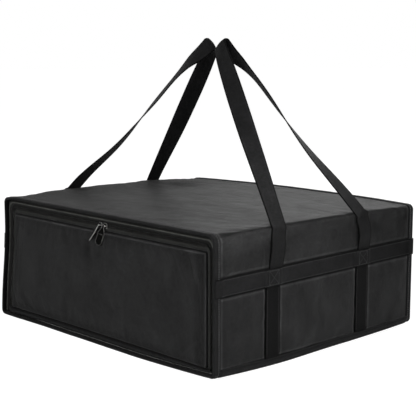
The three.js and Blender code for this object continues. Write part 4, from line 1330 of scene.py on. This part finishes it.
def stamped(outline, thickness, edge, place):
    """A plate from an outline of (x, z), with its edges rounded."""
    mesh = bmesh.new()
    face = mesh.faces.new([mesh.verts.new((x, 0.0, z)) for x, z in outline])
    if face.normal.y > 0:
        bmesh.ops.reverse_faces(mesh, faces=[face])
    made = bmesh.ops.extrude_face_region(mesh, geom=[face])["geom"]
    moved = [part for part in made if isinstance(part, bmesh.types.BMVert)]
    bmesh.ops.translate(mesh, vec=(0, -thickness, 0), verts=moved)
    bmesh.ops.recalc_face_normals(mesh, faces=mesh.faces)
    sharp = [e for e in mesh.edges if e.calc_face_angle(0) > math.radians(50)]
    bmesh.ops.bevel(
        mesh, geom=sharp, offset=edge, segments=4, profile=0.5, affect="EDGES", material=-1, clamp_overlap=True)
    bmesh.ops.transform(mesh, matrix=place, verts=mesh.verts)
    return mesh


def rub_rims(piece, facing):
    """Gives the bevelled rims of a stamped piece the rubbed metal."""
    piece.data.materials.append(rubbed_edge)
    for face in piece.data.polygons:
        if -0.3 < face.normal.dot(facing) < 0.85:
            face.material_index = 1


def joined(*meshes):
    whole = bmesh.new()
    for mesh in meshes:
        data = bpy.data.meshes.new("part")
        mesh.to_mesh(data)
        mesh.free()
        whole.from_mesh(data)
        bpy.data.meshes.remove(data)
    return whole


def arc(cx, cz, radius, start, end, steps):
    turns = [start + (end - start) * k / steps for k in range(steps + 1)]
    return [(cx + radius * math.cos(turn), cz + radius * math.sin(turn)) for turn in turns]


def slider_mesh(x):
    """A plate, two lips that reach behind it and a bridge over it."""
    half, high = 0.0050, 0.0036
    shield = arc(-half + 0.002, high - 0.0016, 0.0016, math.pi, math.pi / 2, 5)
    shield += arc(half - 0.0028, high - 0.0024, 0.0024, math.pi / 2, 0, 5)
    shield += [(px, -pz) for px, pz in reversed(shield)]
    plate = stamped(shield, 0.0012, 0.0004, Matrix.Translation((x, -(PLATE_FRONT - 0.0012), ZIP_HEIGHT)))
    lips = []
    for side in (-1, 1):
        lip = [(-half + 0.0012, -0.0005), (half - 0.002, -0.0005), (half - 0.002, 0.0005), (-half + 0.0012, 0.0005)]
        place = Matrix.Translation((x, -(PLATE_FRONT - 0.0020), ZIP_HEIGHT + side * 0.0031))
        lips.append(stamped(lip, 0.0016, 0.0003, place))
    bridge = bmesh.new()
    foot = -(PLATE_FRONT - 0.0006)
    start = Matrix.Translation((x + 0.0032, foot, ZIP_HEIGHT)) @ Matrix.Rotation(math.pi / 2, 4, "X")
    bmesh.ops.create_circle(bridge, cap_ends=True, segments=10, radius=0.0007, matrix=start)
    round_wire = bridge.verts[:] + bridge.edges[:] + bridge.faces[:]
    bmesh.ops.spin(
        bridge, geom=round_wire, cent=(x, foot, ZIP_HEIGHT), axis=(0, 0, 1), angle=-math.pi, steps=14, use_merge=False)
    for vert in bridge.verts:
        vert.co.y = foot + (vert.co.y - foot) * 0.92
    bmesh.ops.recalc_face_normals(bridge, faces=bridge.faces)
    return joined(plate, *lips, bridge)


def pull_mesh(x, lean, twist):
    """A flat tab with an eye on the bar and a raised frame, and the direction in which it faces."""
    length, half, thick = 0.0295, 0.0050, 0.0013
    tab = arc(0.0, -length + half, half, math.pi, 2 * math.pi, 12)
    tab += [(half, -0.0105), (0.0024, -0.0042), (0.0013, -0.0016)]
    tab += arc(0.0, 0.0, 0.0021, -0.6, math.pi + 0.6, 12)
    tab += [(-0.0013, -0.0016), (-0.0024, -0.0042), (-half, -0.0105)]
    plate = stamped(tab, thick, 0.0006, Matrix.Identity(4))
    inner = arc(0.0, -length + half, half - 0.0011, math.pi, 2 * math.pi, 10)
    inner += [(half - 0.0011, -0.0125), (-half + 0.0011, -0.0125)]
    rib = stamped(inner, 0.0003, 0.00012, Matrix.Translation((0, -thick + 0.0001, 0)))
    whole = joined(plate, rib)
    bmesh.ops.translate(whole, vec=(0, thick / 2, 0), verts=whole.verts)
    place = Matrix.Translation((x, -BAR, ZIP_HEIGHT)) @ Matrix.Rotation(-math.radians(PULL_TILT), 4, "X")
    place = place @ Matrix.Rotation(math.radians(lean), 4, "Y") @ Matrix.Rotation(math.radians(twist), 4, "Z")
    bmesh.ops.transform(whole, matrix=place, verts=whole.verts)
    return whole, place.to_3x3() @ Vector((0, -1, 0))


def enamelled(name, mesh, facing, node, body):
    piece = into_scene(name, mesh, black_enamel)
    rub_rims(piece, facing)
    stands_for(piece, node, body)


for name, x, lean, twist in [("left", 0.0020, 38, -36), ("right", 0.0136, 18, 34)]:
    enamelled(name + "_slider_body", slider_mesh(x), Vector((0, -1, 0)), name + "_zip_slider", name + "_slider")
    enamelled(name + "_pull_tab", *pull_mesh(x, lean, twist), name + "_zip_pull", name + "_pull")
print("sliders and pulls made")

# %% [markdown]
# ## Webbing
# All the straps are of one flat woven webbing, an inch wide. A strap is a grid again, but one that is carried along
# stations: at each it has a place, a direction and a side that faces out. That lets it run round a fold and turn on
# itself.

# %% Straps
def crossings(stations):
    """The place, the direction across and the side that faces out at each station of a strap."""
    last = len(stations) - 1
    rows = []
    for i, (place, normal) in enumerate(stations):
        along = (stations[min(i + 1, last)][0] - stations[max(i - 1, 0)][0]).normalized()
        across = along.cross(normal).normalized()
        rows.append((place, across, across.cross(along).normalized()))
    return rows


def strap(name, stations, width, tone, cupped=0.0):
    lengths = [0.0]
    for (a, _), (b, _) in zip(stations, stations[1:]):
        lengths.append(lengths[-1] + (b - a).length)
    last = len(stations) - 1
    rows = crossings(stations)

    def place(u, v):
        centre, across, out = rows[round(v * last)]
        cup = cupped * bump(v, 0.5, 0.035) * (2 * u - 1) ** 2
        return centre + across * ((u - 0.5) * width) - out * cup

    # Painted shade along both edges of the webbing, with a faint painted highlight just inside.
    def shade(u, v):
        from_edge = min(u, 1 - u) * WEBBING_WIDTH
        seam = 1.0 - 0.88 * (1 - smooth(from_edge, 0.0007, 0.0021)) + 0.30 * bump(from_edge, 0.0030, 0.0008)
        return tone(v) * seam

    mesh = sheet_mesh((20, last), place, (width, 1.0), shade=shade)
    cloth = mesh.loops.layers.uv["Cloth"]
    for face in mesh.faces:
        for loop in face.loops:
            loop[cloth].uv.y = lengths[round(loop[cloth].uv.y * last)]
    piece = into_scene(name, mesh, webbing_weave)
    thicken(piece, WEBBING, 0.0)
    round_edges(piece, 0.0004, 2, 50)
    print(name, round(lengths[-1], 3), "m of webbing")
    return piece


def edge_lines(stations, width):
    """Seams just inside both edges of a strap, on its outer face."""
    rows = crossings(stations)
    return [[(place + across * side * (width / 2 - 0.0021) + out * WEBBING / 2, out) for place, across, out in rows]
            for side in (-1, 1)]


# %% [markdown]
# On each side a band runs from front to back at two thirds of the height, over two upright straps that end in the
# base seam. Where the band crosses a strap, or a binding, it steps up over it. The band is lighter than the straps,
# and painted shade darkens it towards the back.

# %% Bands and upright straps
STEP_TOP, STEP_FOOT = 0.0134, 0.0185


def on_strap(y, centre):
    return smooth(y, centre - STEP_FOOT, centre - STEP_TOP) * (1 - smooth(y, centre + STEP_TOP, centre + STEP_FOOT))


def band_out(y):
    rim = HALF_DEPTH - BINDING_DEPTH
    on_rim = smooth(abs(y), rim - 0.006, rim - 0.001) * 0.62
    return STRAP_MIDDLE + max(on_strap(y, STRAPS[-1]), on_strap(y, STRAPS[1]), on_rim) * (WEBBING + GAP)


seam_lines = []
for name, side in [("left", -1), ("right", 1)]:
    def on_wall(y, z, out_by):
        point, out = round_the_bag(side * wall_place(side, z, y), y)
        return point + out * out_by, out

    def band_station(share):
        y = (share * 2 - 1) * (HALF_DEPTH - 0.0011) * side
        return on_wall(y, BAND_MIDDLE + 0.0003 * slow_noise(y, 0.0, 0.0, 0.07, 21.0 + side), band_out(y))

    # Painted shade towards the back of the band.
    def band_tone(v):
        return 1.8 - 0.95 * smooth(v if side > 0 else 1 - v, 0.55, 0.95)

    stations = walked(160, band_station)
    stands_for(strap(name + "_band", stations, BAND_WIDTH, band_tone), name + "_side_band", "bag_body")
    seam_lines += edge_lines(stations[4:-4], BAND_WIDTH)

    for place_name, end in [("front", -1), ("back", 1)]:
        y = STRAPS[end]
        foot = 0.0095 + floor_height(HALF_WIDTH, y)

        def upright_station(share):
            z = foot + (BAND_TOP - 0.001 - foot) * share
            return on_wall(y, z, STRAP_MIDDLE + 0.0007 * (1 - smooth(z, foot, foot + 0.006)))

        stations = walked(40, upright_station)
        upright = strap(f"{name}_{place_name}_upright", stations, WEBBING_WIDTH, lambda v: 0.58)
        stands_for(upright, f"{name}_{place_name}_strap", "bag_body")
        seam_lines += edge_lines(stations[1:-9], WEBBING_WIDTH)

# %% [markdown]
# The band is sewn down over each strap with a square and a cross, the strongest pattern for a strap that is pulled.

# %% Box stitches
def box_stitch(side, y):
    half, out = 0.0092, Vector((side, 0, 0))
    x = side * (HALF_WIDTH + STRAP_MIDDLE + 2 * WEBBING - 0.00035)
    around = [(-half, -half), (half, -half), (half, half), (-half, half)]
    corners = [(Vector((x, y + dy, BAND_MIDDLE + dz)), out) for dy, dz in around]
    return [[corners[a], corners[b]] for a, b in [(0, 1), (1, 2), (2, 3), (3, 0), (0, 2), (1, 3)]]


for side in (-1, 1):
    for end in (-1, 1):
        seam_lines += box_stitch(side, STRAPS[end])
sew("webbing_stitches", seam_lines, "bag_body", pitch=0.003, thick=0.00034, thread=webbing_thread)
print("webbing sewn along", len(seam_lines), "lines")

# %% [markdown]
# ## The handles
# Each handle is one webbing that comes out from behind the band, runs over the lid's fold and rises to a tight bend
# in the middle. On its way each leg turns by a quarter, because the bend wants the webbing on edge. The tips of the
# two handles stand close together over the lid, but don't touch. The foot stays sewn down behind the band, and each
# handle is baked in place and moves with no body.
# A leg is given by where it leaves the band and crosses the fold, how far it bows out, where it arches up or sags
# (a share of its length and a height), and how far its turn lags, in degrees.

# %% Handle stations
BEND_RADIUS = 0.006
TWIST = 1.5
LEG_STEPS = 60
LEG_FOOT = 0.114
OFF_CLOTH = 0.0007
TIP_HEIGHT = BAG_HEIGHT + 0.2595
HANDLES = {
    "left": (-1, Vector((0.0215, 0.0105, TIP_HEIGHT)), [
        (-0.0920, -0.0775, 0.0025, [(0.84, 0.0060), (0.34, -0.0055)], 18),
        (0.0920, 0.0985, 0.0025, [], 0)]),
    "right": (1, Vector((0.0278, -0.0025, TIP_HEIGHT)), [
        (-0.0970, -0.0918, 0.0022, [], 0),
        (0.0895, 0.0810, 0.0042, [(0.76, 0.0085), (0.30, -0.0020)], 15)]),
}


def leg_on_bag(side, tip, foot_y, fold_y, bow):
    radius = CREASE_RADIUS + OFF_CLOTH + STRAP_MIDDLE
    fold_x, fold_z = HALF_WIDTH - CREASE_RADIUS, BAG_HEIGHT - CREASE_RADIUS
    to_tip = Vector((side * tip.x - fold_x, tip.z - fold_z))
    leaving = math.atan2(to_tip.y, to_tip.x) - math.acos(radius / to_tip.length)
    leg = []
    for k in range(26):
        z = LEG_FOOT + (fold_z - LEG_FOOT) * k / 26
        share = max(0.0, (z - BAND_TOP) / (fold_z - BAND_TOP))
        y = foot_y + (fold_y - foot_y) * 0.75 * share
        off = STRAP_MIDDLE + bow * math.sin(math.pi * share) ** 2 + OFF_CLOTH * smooth(share, 0.7, 1.0)
        leg.append((Vector((side * (HALF_WIDTH + off), y, z)), Vector((side, 0, 0))))
    for k in range(13):
        turn = leaving * k / 12
        y = foot_y + (fold_y - foot_y) * (0.75 + 0.25 * k / 12)
        out = Vector((side * math.cos(turn), 0, math.sin(turn)))
        leg.append((Vector((side * fold_x, y, fold_z)) + out * radius, out))
    return leg


def free_leg(start, end, first, last, seed, sags, lag):
    along = (end - start).normalized()
    first = (first - along * first.dot(along)).normalized()
    last = (last - along * last.dot(along)).normalized()
    stations = []
    for k in range(LEG_STEPS + 1):
        share = k / LEG_STEPS
        turn = math.pi / 2 * share ** TWIST - math.radians(lag) * bump(share, 0.81, 0.13)
        normal = first * math.cos(turn) + last * math.sin(turn)
        normal = (normal - along * normal.dot(along)).normalized()
        sway = 0.0007 * math.sin(math.pi * share) * slow_noise(share * 0.3, 0.0, 0.0, 0.07, seed)
        arch = sum(height * bump(share, middle, 0.17) for middle, height in sags)
        arch *= smooth(share, 0.0, 0.12) * (1 - smooth(share, 0.86, 1.0))
        stations.append((start.lerp(end, share) + normal * sway + Vector((0, 0, arch)), normal))
    return stations


def handle_stations(side, tip, legs):
    on_bag = [leg_on_bag(side, tip, *leg[:3]) for leg in legs]
    (near, near_out), (far, far_out) = on_bag[0][-1], on_bag[1][-1]
    axis = ((tip - near).normalized() + (tip - far).normalized()).normalized()
    across = far - near
    across = (across - axis * across.dot(axis)).normalized()
    half_angle = (tip - near).angle(tip - far) / 2
    centre = tip - axis * (BEND_RADIUS / math.sin(half_angle))
    reach = math.pi / 2 - half_angle
    bend = []
    for k in range(17):
        turn = -reach + 2 * reach * k / 16
        out = axis * math.cos(turn) + across * math.sin(turn)
        bend.append((centre + out * BEND_RADIUS, out))
    first = free_leg(near, bend[0][0], near_out, bend[0][1], 31.0 + side, *legs[0][3:])
    last = free_leg(far, bend[-1][0], far_out, bend[-1][1], 35.0 + side, *legs[1][3:])
    return on_bag[0][:-1] + first + bend[1:-1] + last[::-1] + on_bag[1][:-1][::-1]


def handle_tone(v):
    """Painted light: the webbing is lighter where it stands free."""
    return 1.35 + 1.3 * bump(min(v, 1 - v), 0.25, 0.09)


# %% Handles
for name, (side, tip, legs) in HANDLES.items():
    stations = handle_stations(side, tip, legs)
    carry = strap(name + "_carry_strap", stations[::side], WEBBING_WIDTH, handle_tone, cupped=0.0028)
    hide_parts(name + "_handle")
    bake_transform(carry)

# %% [markdown]
# ## Floor and light
# The bag stands on a plain white floor. The white all round comes from what the camera sees of the world and the
# floor, so no lamp has to be bright enough to bleach the cloth, and the floor keeps the bag's shadow.

# %% World and floor
def mixed_into(tree, share, first, second, output):
    mix = tree.nodes.new("ShaderNodeMixShader")
    for socket, value in zip(mix.inputs, (share, first.outputs[0], second.outputs[0])):
        tree.links.new(value, socket)
    tree.links.new(mix.outputs[0], output.inputs["Surface"])


def glow(tree, kind, strength):
    node = tree.nodes.new(kind)
    node.inputs["Strength"].default_value = strength
    return node


world = bpy.data.worlds.new("studio")
bpy.context.scene.world = world
world.use_nodes = True
tree = world.node_tree
tree.nodes.clear()
ambient = glow(tree, "ShaderNodeBackground", 0.16)
white = glow(tree, "ShaderNodeBackground", 1.0)
white.inputs["Color"].default_value = (1, 1, 1, 1)
rays = tree.nodes.new("ShaderNodeLightPath").outputs
mirrored = maths(tree, "MULTIPLY", rays["Is Glossy Ray"], 0.16)
direct = maths(tree, "MAXIMUM", rays["Is Camera Ray"], rays["Is Transmission Ray"])
mixed_into(tree, maths(tree, "MAXIMUM", direct, mirrored), ambient, white, tree.nodes.new("ShaderNodeOutputWorld"))

mesh = bmesh.new()
bmesh.ops.create_grid(mesh, x_segments=1, y_segments=1, size=30.0)
floor_data = bpy.data.meshes.new("floor")
mesh.to_mesh(floor_data)
mesh.free()
floor = bpy.data.objects.new("floor", floor_data)
bpy.context.scene.collection.objects.link(floor)
pale, tree, shader = new_finish("pale_floor", (0.86, 0.86, 0.86), 0.9, specular=0.1)
seen = maths(tree, "MULTIPLY", tree.nodes.new("ShaderNodeLightPath").outputs["Is Camera Ray"], 0.75)
mixed_into(tree, seen, shader, glow(tree, "ShaderNodeEmission", 1.3), tree.nodes["Material Output"])
floor_data.materials.append(pale)

# %% [markdown]
# The photograph was lit softly from in front, and from behind the left corner, where a lamp makes the lid gleam.
# A small lamp close to the right side gives its front part a light patch, and a large weak one lifts the rest.
# Three more are for the sides that the photograph doesn't show: two from behind and one from the left.
# A row gives a lamp's place, what it is turned to, its width and its power in watts.

# %% Lamps
LAMPS = [
    ("front_lamp", (0.3, -2.1, 1.1), (0.0, 0.0, 0.12), 1.2, 20.0),
    ("side_lamp", (0.58, -0.20, 0.40), (0.24, -0.06, 0.1), 0.25, 1.5),
    ("right_lamp", (2.2, 0.0, 0.9), (0.0, 0.0, 0.12), 1.2, 1.5),
    ("lid_lamp", (-1.25, 1.75, 1.2), (0.0, 0.0, 0.15), 1.2, 6.3),
    ("back_lamp", (0.6, 2.0, 1.4), (0.1, 0.0, 0.15), 1.6, 4.0),
    ("back_fill", (-0.4, 2.3, 0.45), (0.0, 0.0, 0.10), 1.2, 10.0),
    ("left_fill", (-2.3, 0.3, 0.45), (0.0, 0.0, 0.10), 1.2, 7.0),
]
for name, place, aim, size, power in LAMPS:
    light = bpy.data.lights.new(name, "AREA")
    light.shape = "DISK"
    light.size = size
    light.energy = power
    lit = bpy.data.objects.new(name, light)
    bpy.context.scene.collection.objects.link(lit)
    lit.location = place
    lit.rotation_euler = (Vector(aim) - Vector(place)).to_track_quat("-Z", "Y").to_euler()
bpy.context.scene.view_settings.view_transform = "Standard"
print("lamps:", len(LAMPS))
